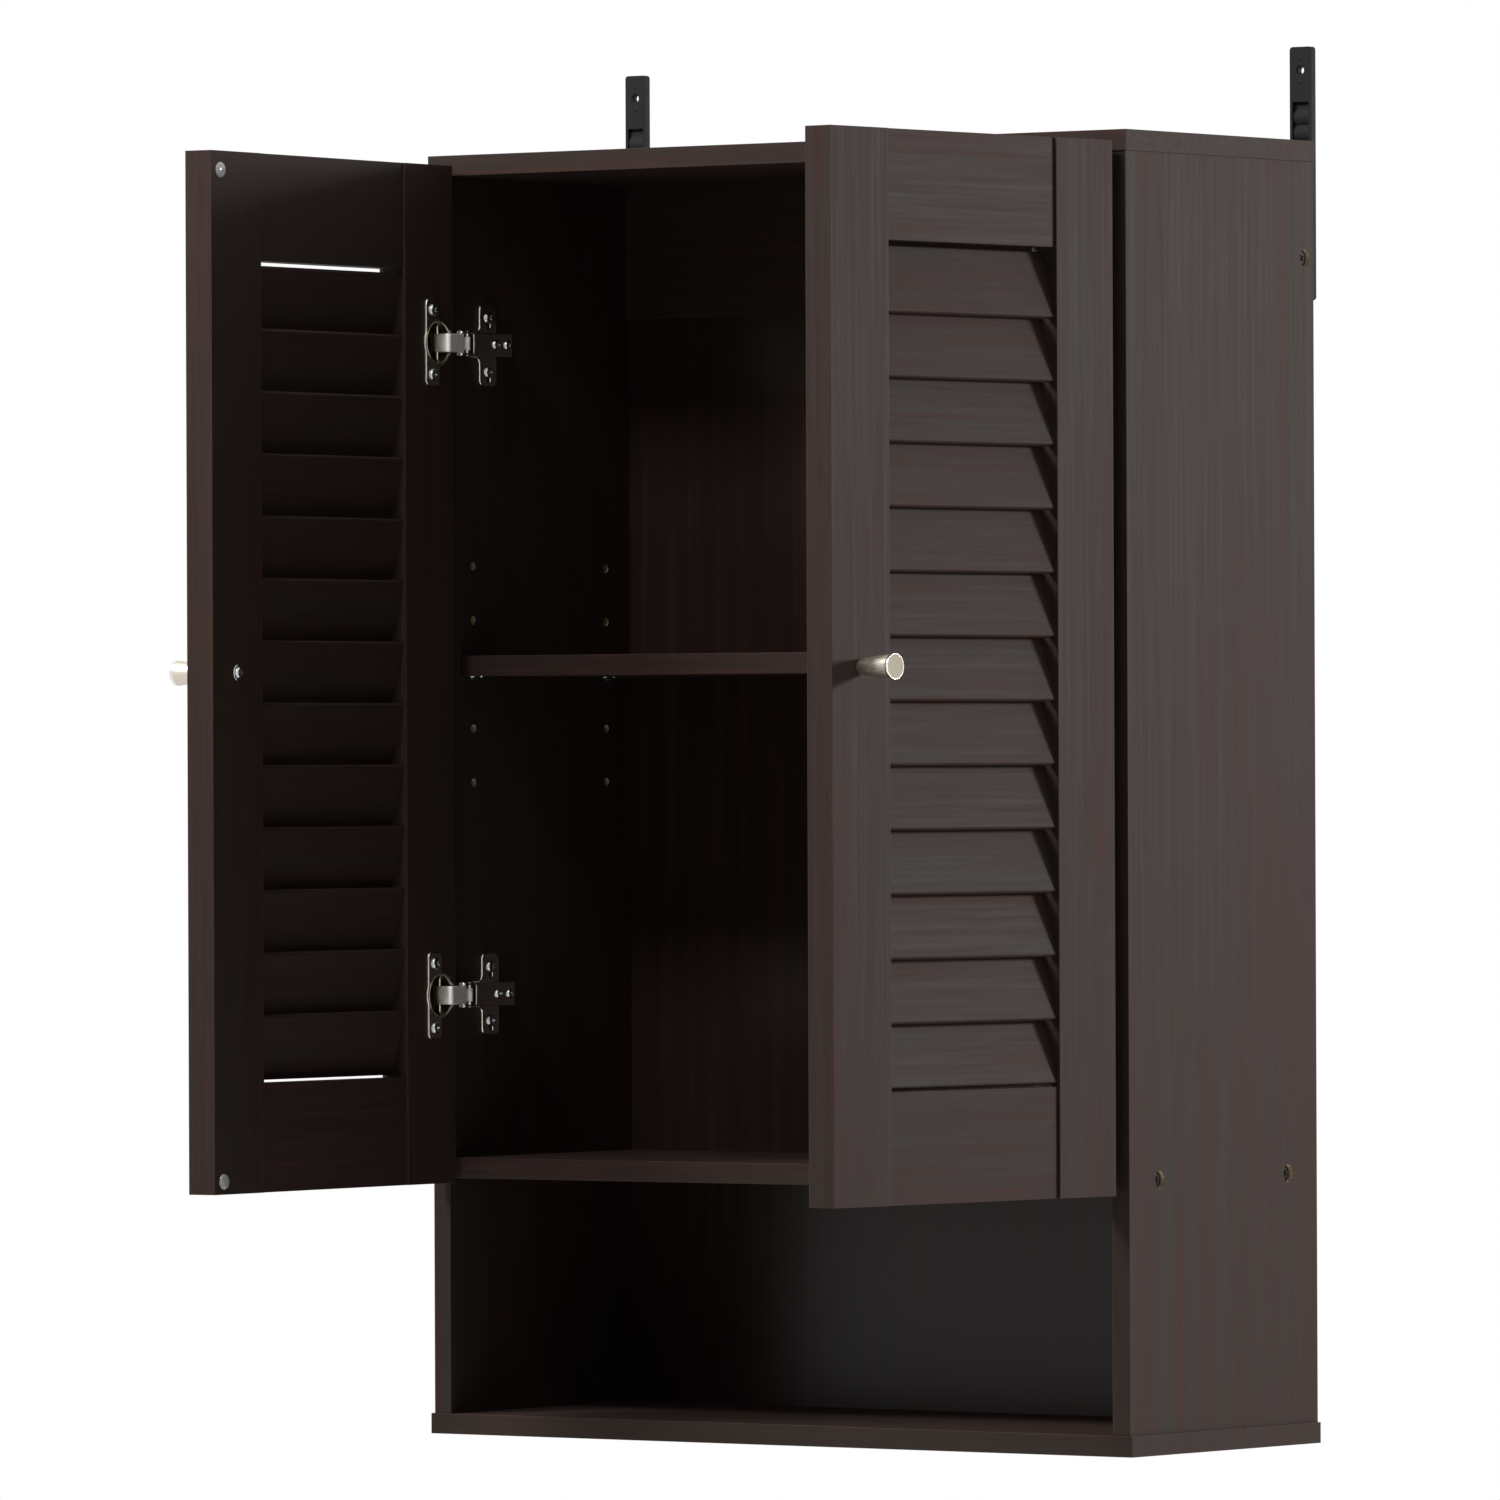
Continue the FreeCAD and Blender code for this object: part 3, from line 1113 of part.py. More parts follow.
def hinge_cup(name, z):
    """Drawn cup with its flange; Y runs out of the door's inner face."""
    cup = Piece(name, on_door(size.cup_centre, size.door_thickness, z), door_turn)
    outer = size.cup_diameter / 2
    inner = outer - size.cup_wall
    half_flange = size.flange_width / 2
    cup.add("Y", 0, size.flange_thickness,
            rectangle(size.flange_offset - half_flange, -size.flange_length / 2,
                      size.flange_width, size.flange_length))
    cup.soften(size.flange_corner, runs_along("Y"))
    cup.spin((inner, size.flange_thickness), (outer + size.flange_ring, size.flange_thickness),
             (outer + size.flange_ring, 0), (outer, 0), (outer, -size.cup_depth), (0, -size.cup_depth),
             (0, -size.cup_depth + size.cup_wall), (inner, -size.cup_depth + size.cup_wall))
    cup.cut("Y", 0, size.flange_thickness, circle(0, 0, inner * 2))
    notch = size.front_link_width + size.link_room * 2
    cup.cut("Y", 0, size.flange_thickness, rectangle(-outer * 2, -notch / 2, outer * 2, notch))
    cup.cut("Y", 0, size.flange_thickness,
            *[circle(size.flange_offset, size.cup_screw_spacing * side / 2,
                     size.small_screw_shank + size.fastener_clearance * 2) for side in (-1, 1)])
    cup.cut("Z", -outer, outer * 2, circle(size.front_cup_pin - size.cup_centre, -size.front_cup_pin_depth,
                                           size.hinge_pin + size.hinge_pin_play * 2))
    both_hands(name, cup.body)


def check_document():
    """Stops if any object failed or a sub-part is empty or invalid."""
    for item in doc.Objects:
        if any(word in item.State for word in ("Invalid", "Error")):
            raise RuntimeError(f"{item.Label} did not compute: {item.State}")
    for name, solid in parts.items():
        shape = solid.Shape
        if shape.isNull() or not shape.isValid() or not shape.Solids:
            raise RuntimeError(f"{name} has no valid solid")


def main():
    carcass()
    adjustable_shelf()
    shelf_pins()
    carcass_fasteners()
    wall_bracket()
    for which, z in hinge_heights.items():
        hinge_on_side(which, z)
    hinge_fasteners()
    links()
    door_frame()
    door_fittings()
    doc.recompute()
    check_document()
    os.makedirs("parts", exist_ok=True)
    for name, solid in parts.items():
        solid.Shape.exportStep(f"parts/{name}.step")
        print(f"{name}: {len(solid.Shape.Solids)} solids, {solid.Shape.Volume / 1000:.2f} cm3")


main()
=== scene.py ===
"""Looks of a wall cabinet with louvred doors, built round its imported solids.

The solids give every board, slat and hinge part its shape and place. This scene gives them their
finishes, and adds what is too fine for the solids: cross-head screws, turned knobs, clear bumpers,
the bare particle board inside the drilled holes, and the marks that moulding leaves on the brackets.
"""

import enum
import logging
import math
from dataclasses import dataclass, field
from typing import Callable, Iterable, Sequence, Union

import bmesh
import bpy
from mathutils import Matrix, Vector


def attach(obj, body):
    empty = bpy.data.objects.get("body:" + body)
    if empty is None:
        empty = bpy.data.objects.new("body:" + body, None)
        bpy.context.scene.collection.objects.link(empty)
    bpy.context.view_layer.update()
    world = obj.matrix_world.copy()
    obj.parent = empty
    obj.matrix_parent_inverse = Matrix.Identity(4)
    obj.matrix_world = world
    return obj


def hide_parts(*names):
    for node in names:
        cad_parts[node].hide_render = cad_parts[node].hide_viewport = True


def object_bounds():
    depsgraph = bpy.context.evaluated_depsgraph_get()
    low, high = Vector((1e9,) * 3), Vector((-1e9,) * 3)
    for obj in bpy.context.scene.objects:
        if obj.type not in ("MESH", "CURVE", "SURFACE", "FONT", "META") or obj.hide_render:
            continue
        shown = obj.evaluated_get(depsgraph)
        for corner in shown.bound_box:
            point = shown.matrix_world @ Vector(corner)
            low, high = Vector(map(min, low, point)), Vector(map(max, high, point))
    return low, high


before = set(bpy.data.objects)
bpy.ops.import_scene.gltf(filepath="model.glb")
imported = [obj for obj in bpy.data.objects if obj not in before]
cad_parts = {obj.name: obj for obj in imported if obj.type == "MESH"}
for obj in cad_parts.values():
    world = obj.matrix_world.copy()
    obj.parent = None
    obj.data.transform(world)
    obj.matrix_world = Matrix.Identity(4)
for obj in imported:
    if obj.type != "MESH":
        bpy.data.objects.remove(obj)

CAD_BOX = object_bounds()
LOG = logging.getLogger("wall_cabinet")

MM = 0.001
FULL_TURN = 2 * math.pi

Colour = tuple[float, float, float]
Place = tuple[Vector, Vector]
Profile = Sequence[tuple[float, float]]
Socket = bpy.types.NodeSocket
Feed = Union[Socket, float, Sequence[float]]

WHITE: Colour = (1.0, 1.0, 1.0)


class Grain(enum.Enum):
    """Direction of a board's grain, as the scale of the pattern along X, Y and Z."""

    UPRIGHT = (1.0, 1.0, 0.02)
    ACROSS = (0.02, 1.0, 1.0)


class Hand(enum.Enum):
    """Left and right half of the cabinet, with the sign of their X."""

    LEFT = -1
    RIGHT = 1

    @property
    def word(self) -> str:
        """Name of the half, as the node names start."""
        return self.name.lower()


@dataclass(frozen=True)
class Carcass:
    """Places on the carcass in metres, as the solids have them."""

    side_x: float = 250 * MM
    inner_x: float = 238 * MM
    front_y: float = -194.5 * MM
    foot_z: float = -795.3 * MM
    top_z: float = -41.3 * MM
    board: float = 12 * MM
    upper_hinge_z: float = -152.3 * MM
    lower_hinge_z: float = -536.3 * MM

    def hinge_heights(self) -> tuple[float, float]:
        """Heights of the two hinges of a door."""
        return self.upper_hinge_z, self.lower_hinge_z


@dataclass(frozen=True)
class DoorPlace:
    """Where the open left door stands: its outer hinge corner at its foot, and its turn."""

    x: float = -246.404 * MM
    y: float = -202.516 * MM
    z: float = -646.8 * MM
    turn: float = math.radians(-86)
    height: float = 599 * MM
    thickness: float = 18 * MM

    def point(self, hand: Hand, along: float, across: float, up: float) -> Vector:
        """Point of an open door.

        Args:
            hand: which door.
            along: from the hinge edge.
            across: from the outer face.
            up: from the foot.

        Returns:
            The point in the frame of the solids.
        """
        spot = Matrix.Rotation(self.turn, 3, "Z") @ Vector((along, across, 0))
        spot += Vector((self.x, self.y, self.z + up))
        return Vector((-hand.value * spot.x, spot.y, spot.z))

    def inward(self, hand: Hand) -> Vector:
        """Direction out of the inner face of an open door."""
        return self.point(hand, 0, 1, 0) - self.point(hand, 0, 0, 0)


CARCASS = Carcass()
DOOR = DoorPlace()


class NodeWriter:
    """Short way to write the nodes of a material or of the surroundings."""

    def __init__(self, tree: bpy.types.NodeTree) -> None:
        """Empties a tree and keeps it.

        Args:
            tree: the node tree to write.
        """
        self.tree = tree
        self.tree.nodes.clear()

    def node(self, kind: str, inputs: dict | None = None, **settings: object) -> bpy.types.Node:
        """Adds a node.

        Args:
            kind: the node's type.
            inputs: values or output sockets by input name or number.
            **settings: attributes of the node.

        Returns:
            The new node.
        """
        node = self.tree.nodes.new(kind)
        for name, value in settings.items():
            setattr(node, name, value)
        for key, value in (inputs or {}).items():
            self.feed(node.inputs[key], value)
        return node

    def feed(self, socket: Socket, value: Feed) -> None:
        """Links an output to a socket, or sets the socket's own value.

        Args:
            socket: the input.
            value: an output, a number, a vector, or a colour without its alpha.
        """
        if isinstance(value, Socket):
            self.tree.links.new(value, socket)
        elif socket.type == "RGBA":
            socket.default_value = (*value, 1)
        else:
            socket.default_value = value

    def noise(self, vector: Socket, scale: float, detail: float = 4, roughness: float = 0.5) -> Socket:
        """Cloudy pattern from 0 to 1."""
        inputs = {"Vector": vector, "Scale": scale, "Detail": detail, "Roughness": roughness}
        return self.node("ShaderNodeTexNoise", inputs).outputs["Fac"]

    def levels(self, value: Feed, low: float, high: float, to_low: Feed = 0, to_high: Feed = 1) -> Socket:
        """Stretches a value from one range to another."""
        inputs = {0: value, 1: low, 2: high, 3: to_low, 4: to_high}
        return self.node("ShaderNodeMapRange", inputs).outputs[0]

    def blend(self, share: Feed, first: Feed, second: Feed, kind: str = "MIX") -> Socket:
        """Mix of two colours.

        Args:
            share: how much of the second colour shows.
            first: the colour at a share of zero.
            second: the colour at a share of one.
            kind: how the two are mixed.

        Returns:
            The colour output.
        """
        node = self.node("ShaderNodeMix", data_type="RGBA", blend_type=kind)
        for number, value in ((0, share), (6, first), (7, second)):
            self.feed(node.inputs[number], value)
        return node.outputs[2]

    def math(self, operation: str, first: Feed, second: Feed = 0.0) -> Socket:
        """Sum, product or comparison of two numbers."""
        return self.node("ShaderNodeMath", {0: first, 1: second}, operation=operation).outputs[0]

    def dot(self, first: Feed, second: Feed) -> Socket:
        """How far two directions agree, or how far a place lies along a direction."""
        node = self.node("ShaderNodeVectorMath", {0: first, 1: second}, operation="DOT_PRODUCT")
        return node.outputs["Value"]

    def soft_edge(self, radius: float, samples: int) -> Socket:
        """Normal of a surface whose edges look rounded."""
        return self.node("ShaderNodeBevel", {"Radius": radius}, samples=samples).outputs[0]

    def bump(self, height: Socket, depth: float, strength: float, normal: Socket | None = None) -> Socket:
        """Normal of a surface with fine relief.

        Args:
            height: pattern of the relief.
            depth: its depth in metres.
            strength: how much of it shows, from 0 to 1.
            normal: the normal that it starts from.

        Returns:
            The normal output.
        """
        inputs = {"Height": height, "Distance": depth, "Strength": strength}
        if normal is not None:
            inputs["Normal"] = normal
        return self.node("ShaderNodeBump", inputs).outputs["Normal"]

    def rear_share(self, limit: float) -> Socket:
        """One where a face looks to the wall, and zero elsewhere.

        Args:
            limit: how squarely it has to look there, as a cosine.

        Returns:
            The share's output.
        """
        facing = self.node("ShaderNodeTexCoord").outputs["Normal"]
        rearward = self.node("ShaderNodeSeparateXYZ", {0: facing}).outputs[1]
        return self.math("GREATER_THAN", rearward, limit)

    def seen_share(self) -> Socket:
        """One for what the camera, a reflection or clear plastic shows, and zero for light that spreads.

        Returns:
            The share's output.
        """
        path = self.node("ShaderNodeLightPath")
        share = path.outputs["Is Camera Ray"]
        for ray in ("Is Glossy Ray", "Is Transmission Ray"):
            share = self.math("MAXIMUM", share, path.outputs[ray])
        return share

    def mix(self, share: Socket, first: bpy.types.Node, second: bpy.types.Node) -> bpy.types.Node:
        """Mix of two shaders."""
        return self.node("ShaderNodeMixShader", {0: share, 1: first.outputs[0], 2: second.outputs[0]})


class Shader(NodeWriter):
    """Node tree of one material."""

    def __init__(self, name: str) -> None:
        """Starts a material with nothing but its output.

        Args:
            name: name of the material.
        """
        self.material = bpy.data.materials.new(name)
        self.material.use_nodes = True
        super().__init__(self.material.node_tree)
        self.output = self.node("ShaderNodeOutputMaterial")

    def show(self, last: bpy.types.Node) -> bpy.types.Material:
        """Ends the tree with a shader, and gives the material."""
        self.feed(self.output.inputs["Surface"], last.outputs[0])
        return self.material

    def surface(self, **inputs: Feed) -> bpy.types.Material:
        """Ends the tree with one physically based shader.

        Args:
            **inputs: the shader's inputs, with underscores for the spaces in their names.

        Returns:
            The material.
        """
        values = {name.replace("_", " "): value for name, value in inputs.items()}
        return self.show(self.node("ShaderNodeBsdfPrincipled", values))


def object_place(shader: Shader, turn: float = 0.0, scale: Sequence[float] = (1, 1, 1)) -> Socket:
    """Object coordinates, turned back to lie along a door and stretched along the grain.

    Args:
        shader: the material being built.
        turn: how far the piece is turned about Z.
        scale: scale along the piece's own axes.

    Returns:
        The vector output.
    """
    coordinates = shader.node("ShaderNodeTexCoord").outputs["Object"]
    inputs = {"Vector": coordinates, "Angle": -turn}
    turned = shader.node("ShaderNodeVectorRotate", inputs, rotation_type="Z_AXIS").outputs[0]
    return shader.node("ShaderNodeMapping", {"Vector": turned, "Scale": scale}).outputs[0]


@dataclass(frozen=True)
class Laminate:
    """Satin dark laminate with straight grain and painted edge highlights; cut rear edges can show the bare
    board.
    """

    name: str
    grain: Grain
    turn: float = 0.0
    seed: float = 0.0
    bare_rear: bool = False
    base: Colour = (0.0370, 0.0222, 0.0190)
    red: Colour = (0.0560, 0.0262, 0.0212)
    grey: Colour = (0.0390, 0.0318, 0.0268)
    # lighter colour painted on rounded edges as a highlight
    worn: Colour = (0.16, 0.125, 0.11)
    roughness: float = 0.62
    smoother: float = 0.04
    rougher: float = 0.06
    bare_roughness: float = 0.85
    rear_limit: float = 0.9
    shine: float = 0.12
    broad_scale: float = 55
    streak_scale: float = 330
    pore_scale: float = 1100
    pore_depth: float = 0.05 * MM
    edge: float = 0.5 * MM
    wear_share: float = 0.75

    def build(self) -> bpy.types.Material:
        """Makes the material.

        Returns:
            The material.
        """
        shader = Shader(self.name)
        place = object_place(shader, self.turn, self.grain.value)
        place = shader.node("ShaderNodeVectorMath", {0: place, 1: (self.seed,) * 3}).outputs[0]
        streak = shader.noise(place, self.streak_scale, 4, 0.62)
        pores = shader.noise(place, self.pore_scale, 3, 0.6)
        soft_edge = shader.soft_edge(self.edge, 6)
        colour = self._grain_colour(shader, place, streak, pores)
        # painted highlight: a lighter colour on the rounded edges stands in for light caught there
        colour = shader.blend(self._wear(shader, streak, soft_edge), colour, self.worn)
        smoothest, roughest = self.roughness - self.smoother, self.roughness + self.rougher
        rough = shader.levels(streak, 0.3, 0.7, smoothest, roughest)
        if self.bare_rear:
            share = shader.rear_share(self.rear_limit)
            colour = shader.blend(share, colour, WoodChips().colour(shader))
            rough = shader.levels(share, 0, 1, rough, self.bare_roughness)
        normal = shader.bump(pores, self.pore_depth, 0.5, soft_edge)
        return shader.surface(Base_Color=colour, Roughness=rough, Normal=normal,
                              Specular_IOR_Level=self.shine)

    def _grain_colour(self, shader: Shader, place: Socket, streak: Socket, pores: Socket) -> Socket:
        """Red streaks and broad grey bands on the base, darkened in the pores.

        Args:
            shader: the material being built.
            place: coordinates along the grain.
            streak: pattern of the streaks.
            pores: pattern of the pores.

        Returns:
            The colour output.
        """
        broad = shader.noise(place, self.broad_scale, 3, 0.6)
        colour = shader.blend(shader.levels(streak, 0.44, 0.62, 0, 0.8), self.base, self.red)
        colour = shader.blend(shader.levels(broad, 0.46, 0.66, 0, 0.75), colour, self.grey)
        dark = shader.levels(pores, 0.52, 0.70, 1.0, 0.74)
        shade = shader.node("ShaderNodeCombineColor", {0: dark, 1: dark, 2: dark}).outputs[0]
        return shader.blend(1.0, colour, shade, "MULTIPLY")

    def _wear(self, shader: Shader, streak: Socket, soft_edge: Socket) -> Socket:
        """Share of the painted edge highlight, a lighter colour that stands in for light caught on rounded
        edges, where the rounded normal leaves the flat one.

        Args:
            shader: the material being built.
            streak: pattern that breaks the painted highlight up.
            soft_edge: the rounded normal.

        Returns:
            The share's output.
        """
        flat = shader.node("ShaderNodeNewGeometry").outputs["True Normal"]
        near_edge = shader.levels(shader.dot(soft_edge, flat), 0.985, 0.82, 0, self.wear_share)
        return shader.math("MULTIPLY", near_edge, shader.levels(streak, 0.3, 0.6, 0.5, 1))


@dataclass(frozen=True)
class WoodChips:
    """Pressed wood chips, as bare cut edges and drilled holes show them."""

    dark: Colour = (0.50, 0.35, 0.20)
    light: Colour = (0.92, 0.75, 0.52)
    gap: Colour = (0.10, 0.05, 0.025)
    chip_scale: float = 700
    gap_scale: float = 1900
    gap_share: float = 0.8

    def colour(self, shader: Shader) -> Socket:
        """Colour of the chips, with dark gaps between them.

        Args:
            shader: the material being built.

        Returns:
            The colour output.
        """
        place = object_place(shader)
        inputs = {"Vector": place, "Scale": self.chip_scale, "Randomness": 1.0}
        chips = shader.node("ShaderNodeTexVoronoi", inputs)
        shade = shader.node("ShaderNodeSeparateColor", {0: chips.outputs["Color"]}).outputs[0]
        colour = shader.blend(shade, self.dark, self.light)
        gaps = shader.levels(shader.noise(place, self.gap_scale, 2), 0.55, 0.72, 0, self.gap_share)
        return shader.blend(gaps, colour, self.gap)


@dataclass(frozen=True)
class ParticleBoard:
    """Bare pressed chips."""

    name: str
    roughness: float = 0.9
    grit_scale: float = 1400
    grit_depth: float = 0.25 * MM

    def build(self) -> bpy.types.Material:
        """Makes the material.

        Returns:
            The material.
        """
        shader = Shader(self.name)
        grit = shader.noise(object_place(shader), self.grit_scale, 4, 0.7)
        normal = shader.bump(grit, self.grit_depth, 0.8)
        return shader.surface(Base_Color=WoodChips().colour(shader), Roughness=self.roughness, Normal=normal)


@dataclass(frozen=True)
class BackBoard:
    """Thin hardboard: printed and smooth on the room side, brown and felted on the wall side."""

    name: str
    print_dark: Colour = (0.030, 0.0175, 0.0145)
    print_red: Colour = (0.048, 0.0225, 0.0180)
    felt_dark: Colour = (0.105, 0.055, 0.028)
    felt_light: Colour = (0.23, 0.14, 0.075)
    print_roughness: float = 0.27
    felt_roughness: float = 0.9
    shine: float = 0.24
    streak_scale: float = 150
    fibre_scale: float = 800
    fibre_depth: float = 0.08 * MM

    def build(self) -> bpy.types.Material:
        """Makes the material.

        Returns:
            The material.
        """
        shader = Shader(self.name)
        streak = shader.noise(object_place(shader, 0, Grain.UPRIGHT.value), self.streak_scale, 5, 0.6)
        fibres = shader.noise(object_place(shader), self.fibre_scale, 6, 0.75)
        printed = shader.blend(shader.levels(streak, 0.4, 0.7), self.print_dark, self.print_red)
        felted = shader.blend(fibres, self.felt_dark, self.felt_light)
        rear = shader.rear_share(0.5)
        return shader.surface(Base_Color=shader.blend(rear, printed, felted),
                              Roughness=shader.levels(rear, 0, 1, self.print_roughness, self.felt_roughness),
                              Specular_IOR_Level=self.shine,
                              Normal=shader.bump(fibres, self.fibre_depth, 0.4))


@dataclass(frozen=True)
class Metal:
    """Plated or turned metal with faint brushing and small blemishes."""

    name: str
    colour: Colour
    roughness: float
    brush: tuple[float, float, float] = (1.0, 1.0, 1.0)
    relief: float = 0.01 * MM
    edge: float = 0.25 * MM
    brush_scale: float = 1300
    blemish_scale: float = 210
    dull_share: float = 0.72
    rough_shares: tuple[float, float] = (0.8, 1.25)

    def build(self) -> bpy.types.Material:
        """Makes the material.

        Returns:
            The material.
        """
        shader = Shader(self.name)
        brushing = shader.noise(object_place(shader, 0, self.brush), self.brush_scale, 4, 0.65)
        blemish = shader.noise(object_place(shader), self.blemish_scale, 3, 0.6)
        duller = tuple(self.dull_share * value for value in self.colour)
        colour = shader.blend(shader.levels(blemish, 0.5, 0.75, 0, 0.6), self.colour, duller)
        smoothest, roughest = (self.roughness * share for share in self.rough_shares)
        rough = shader.levels(brushing, 0.3, 0.7, smoothest, roughest)
        normal = shader.bump(brushing, self.relief, 0.6, shader.soft_edge(self.edge, 8))
        return shader.surface(Base_Color=colour, Metallic=1.0, Roughness=rough, Normal=normal)


@dataclass(frozen=True)
class HingeCup:
    """Plated hinge cup: bright flange on the door, with painted shade down in its bore as a dull, darker
    brown colour.
    """

    name: str
    hand: Hand
    plate_light: Colour = (0.80, 0.77, 0.68)
    plate_dark: Colour = (0.66, 0.62, 0.52)
    # dark brown colours painted in the bore as shade
    brass_light: Colour = (0.15, 0.105, 0.045)
    brass_dark: Colour = (0.09, 0.06, 0.025)
    plate_roughness: float = 0.2
    brass_roughness: float = 0.45
    brush_scale: float = 900
    relief: float = 0.01 * MM
    edge: float = 2.2 * MM
    brass_drop: float = 0.2 * MM

    def build(self) -> bpy.types.Material:
        """Makes the material.

        Returns:
            The material.
        """
        shader = Shader(self.name)
        way = DOOR.inward(self.hand)
        mouth = way.dot(DOOR.point(self.hand, 0, DOOR.thickness, 0)) - self.brass_drop
        place = object_place(shader)
        # painted shade: below the flange's mouth the colour turns dark brown, as shade falls in the bore
        sunk = shader.math("LESS_THAN", shader.dot(place, way), mouth)
        brushing = shader.noise(place, self.brush_scale, 4, 0.65)
        plate = shader.blend(brushing, self.plate_light, self.plate_dark)
        bore_shade = shader.blend(brushing, self.brass_light, self.brass_dark)
        rough = shader.levels(sunk, 0, 1, self.plate_roughness, self.brass_roughness)
        normal = shader.bump(brushing, self.relief, 0.6, shader.soft_edge(self.edge, 12))
        colour = shader.blend(sunk, plate, bore_shade)
        return shader.surface(Base_Color=colour, Metallic=1.0, Roughness=rough, Normal=normal)


@dataclass(frozen=True)
class Plastic:
    """Moulded plastic with a fine spark-eroded grain."""

    name: str
    colour: Colour
    roughness: float
    shine: float = 0.22
    light_share: float = 1.5
    rough_shares: tuple[float, float] = (0.88, 1.12)
    cell_scale: float = 1500
    cell_depth: float = 0.04 * MM
    cloud_scale: float = 60
    edge: float = 0.4 * MM

    def build(self) -> bpy.types.Material:
        """Makes the material.

        Returns:
            The material.
        """
        shader = Shader(self.name)
        place = object_place(shader)
        inputs = {"Vector": place, "Scale": self.cell_scale}
        cells = shader.node("ShaderNodeTexVoronoi", inputs).outputs["Distance"]
        cloud = shader.noise(place, self.cloud_scale, 3)
        lighter = tuple(self.light_share * value for value in self.colour)
        colour = shader.blend(cloud, self.colour, lighter)
        smoothest, roughest = (self.roughness * share for share in self.rough_shares)
        rough = shader.levels(cloud, 0.3, 0.7, smoothest, roughest)
        normal = shader.bump(cells, self.cell_depth, 0.45, shader.soft_edge(self.edge, 4))
        return shader.surface(Base_Color=colour, Roughness=rough, Normal=normal,
                              Specular_IOR_Level=self.shine)


@dataclass(frozen=True)
class ClearGel:
    """Soft clear plastic, slightly milky, as bumpers are cast."""

    name: str
    colour: Colour = (0.93, 0.94, 0.92)
    clear_share: float = 0.5
    clearest: float = 0.04
    milkiest: float = 0.14
    bending: float = 1.49
    cloud_scale: float = 500
    relief: float = 0.02 * MM

    def build(self) -> bpy.types.Material:
        """Makes the material.

        Returns:
            The material.
        """
        shader = Shader(self.name)
        cloud = shader.noise(object_place(shader), self.cloud_scale, 3)
        milk = shader.levels(cloud, 0.35, 0.7, self.clearest, self.milkiest)
        return shader.surface(Base_Color=self.colour, Roughness=milk, Transmission_Weight=self.clear_share,
                              IOR=self.bending, Normal=shader.bump(cloud, self.relief, 0.4))


@dataclass(frozen=True)
class BareWood:
    """Pale beech of the dowels, with short dark flecks."""

    name: str
    light: Colour = (0.55, 0.37, 0.20)
    dark: Colour = (0.36, 0.22, 0.11)
    roughness: float = 0.7
    grain_scale: float = 600
    grain_depth: float = 0.06 * MM

    def build(self) -> bpy.types.Material:
        """Makes the material.

        Returns:
            The material.
        """
        shader = Shader(self.name)
        grain = shader.noise(object_place(shader, 0, Grain.ACROSS.value), self.grain_scale, 4, 0.6)
        colour = shader.blend(shader.levels(grain, 0.4, 0.7), self.light, self.dark)
        normal = shader.bump(grain, self.grain_depth, 0.5)
        return shader.surface(Base_Color=colour, Roughness=self.roughness, Normal=normal)


class Finishes:
    """Materials by name; each is built once, when it is first asked for."""

    def __init__(self) -> None:
        """Keeps the recipes, with nothing built."""
        self._recipes = {recipe.name: recipe for recipe in self._all()}
        self._built: dict[str, bpy.types.Material] = {}

    @staticmethod
    def _all() -> Iterable[object]:
        """Every finish of the cabinet.

        Yields:
            The recipes, one by one.
        """
        for hand in Hand:
            turn = -hand.value * DOOR.turn
            yield Laminate(f"{hand.word}_stile_laminate", Grain.UPRIGHT, turn, seed=0.7 * hand.value)
            yield Laminate(f"{hand.word}_rail_laminate", Grain.ACROSS, turn, seed=1.3 * hand.value)
            yield HingeCup(f"{hand.word}_hinge_cup", hand)
        yield Laminate("upright_laminate", Grain.UPRIGHT, bare_rear=True)
        yield Laminate("level_laminate", Grain.ACROSS, seed=2.1, bare_rear=True)
        yield Laminate("rail_laminate", Grain.ACROSS, seed=3.4)
        yield BackBoard("back_board")
        yield ParticleBoard("particle_board")
        yield Metal("hinge_nickel", (0.80, 0.77, 0.69), 0.12, brush=(1, 1, 0.1), edge=1.3 * MM)
        yield Metal("link_nickel", (0.94, 0.92, 0.86), 0.58, edge=2.4 * MM, relief=0.03 * MM)
        yield Metal("zinc", (0.60, 0.61, 0.63), 0.17)
        yield Metal("dark_zinc", (0.020, 0.018, 0.016), 0.55)
        yield Metal("satin_knob", (0.68, 0.63, 0.54), 0.42, brush=(0.15, 1, 1), relief=0.02 * MM)
        yield Metal("polished_rim", (0.83, 0.79, 0.71), 0.22)
        yield Plastic("knob_face", (0.46, 0.395, 0.305), 0.55)
        yield Plastic("bracket_black", (0.0215, 0.0210, 0.0210), 0.62, shine=0.06)
        yield ClearGel("bumper_gel")
        yield BareWood("dowel_wood")

    def __getitem__(self, name: str) -> bpy.types.Material:
        """Material of a name.

        Args:
            name: name of the finish.

        Returns:
            The material, built now if it is new.
        """
        if name not in self._built:
            self._built[name] = self._recipes[name].build()
        return self._built[name]


FINISHES = Finishes()


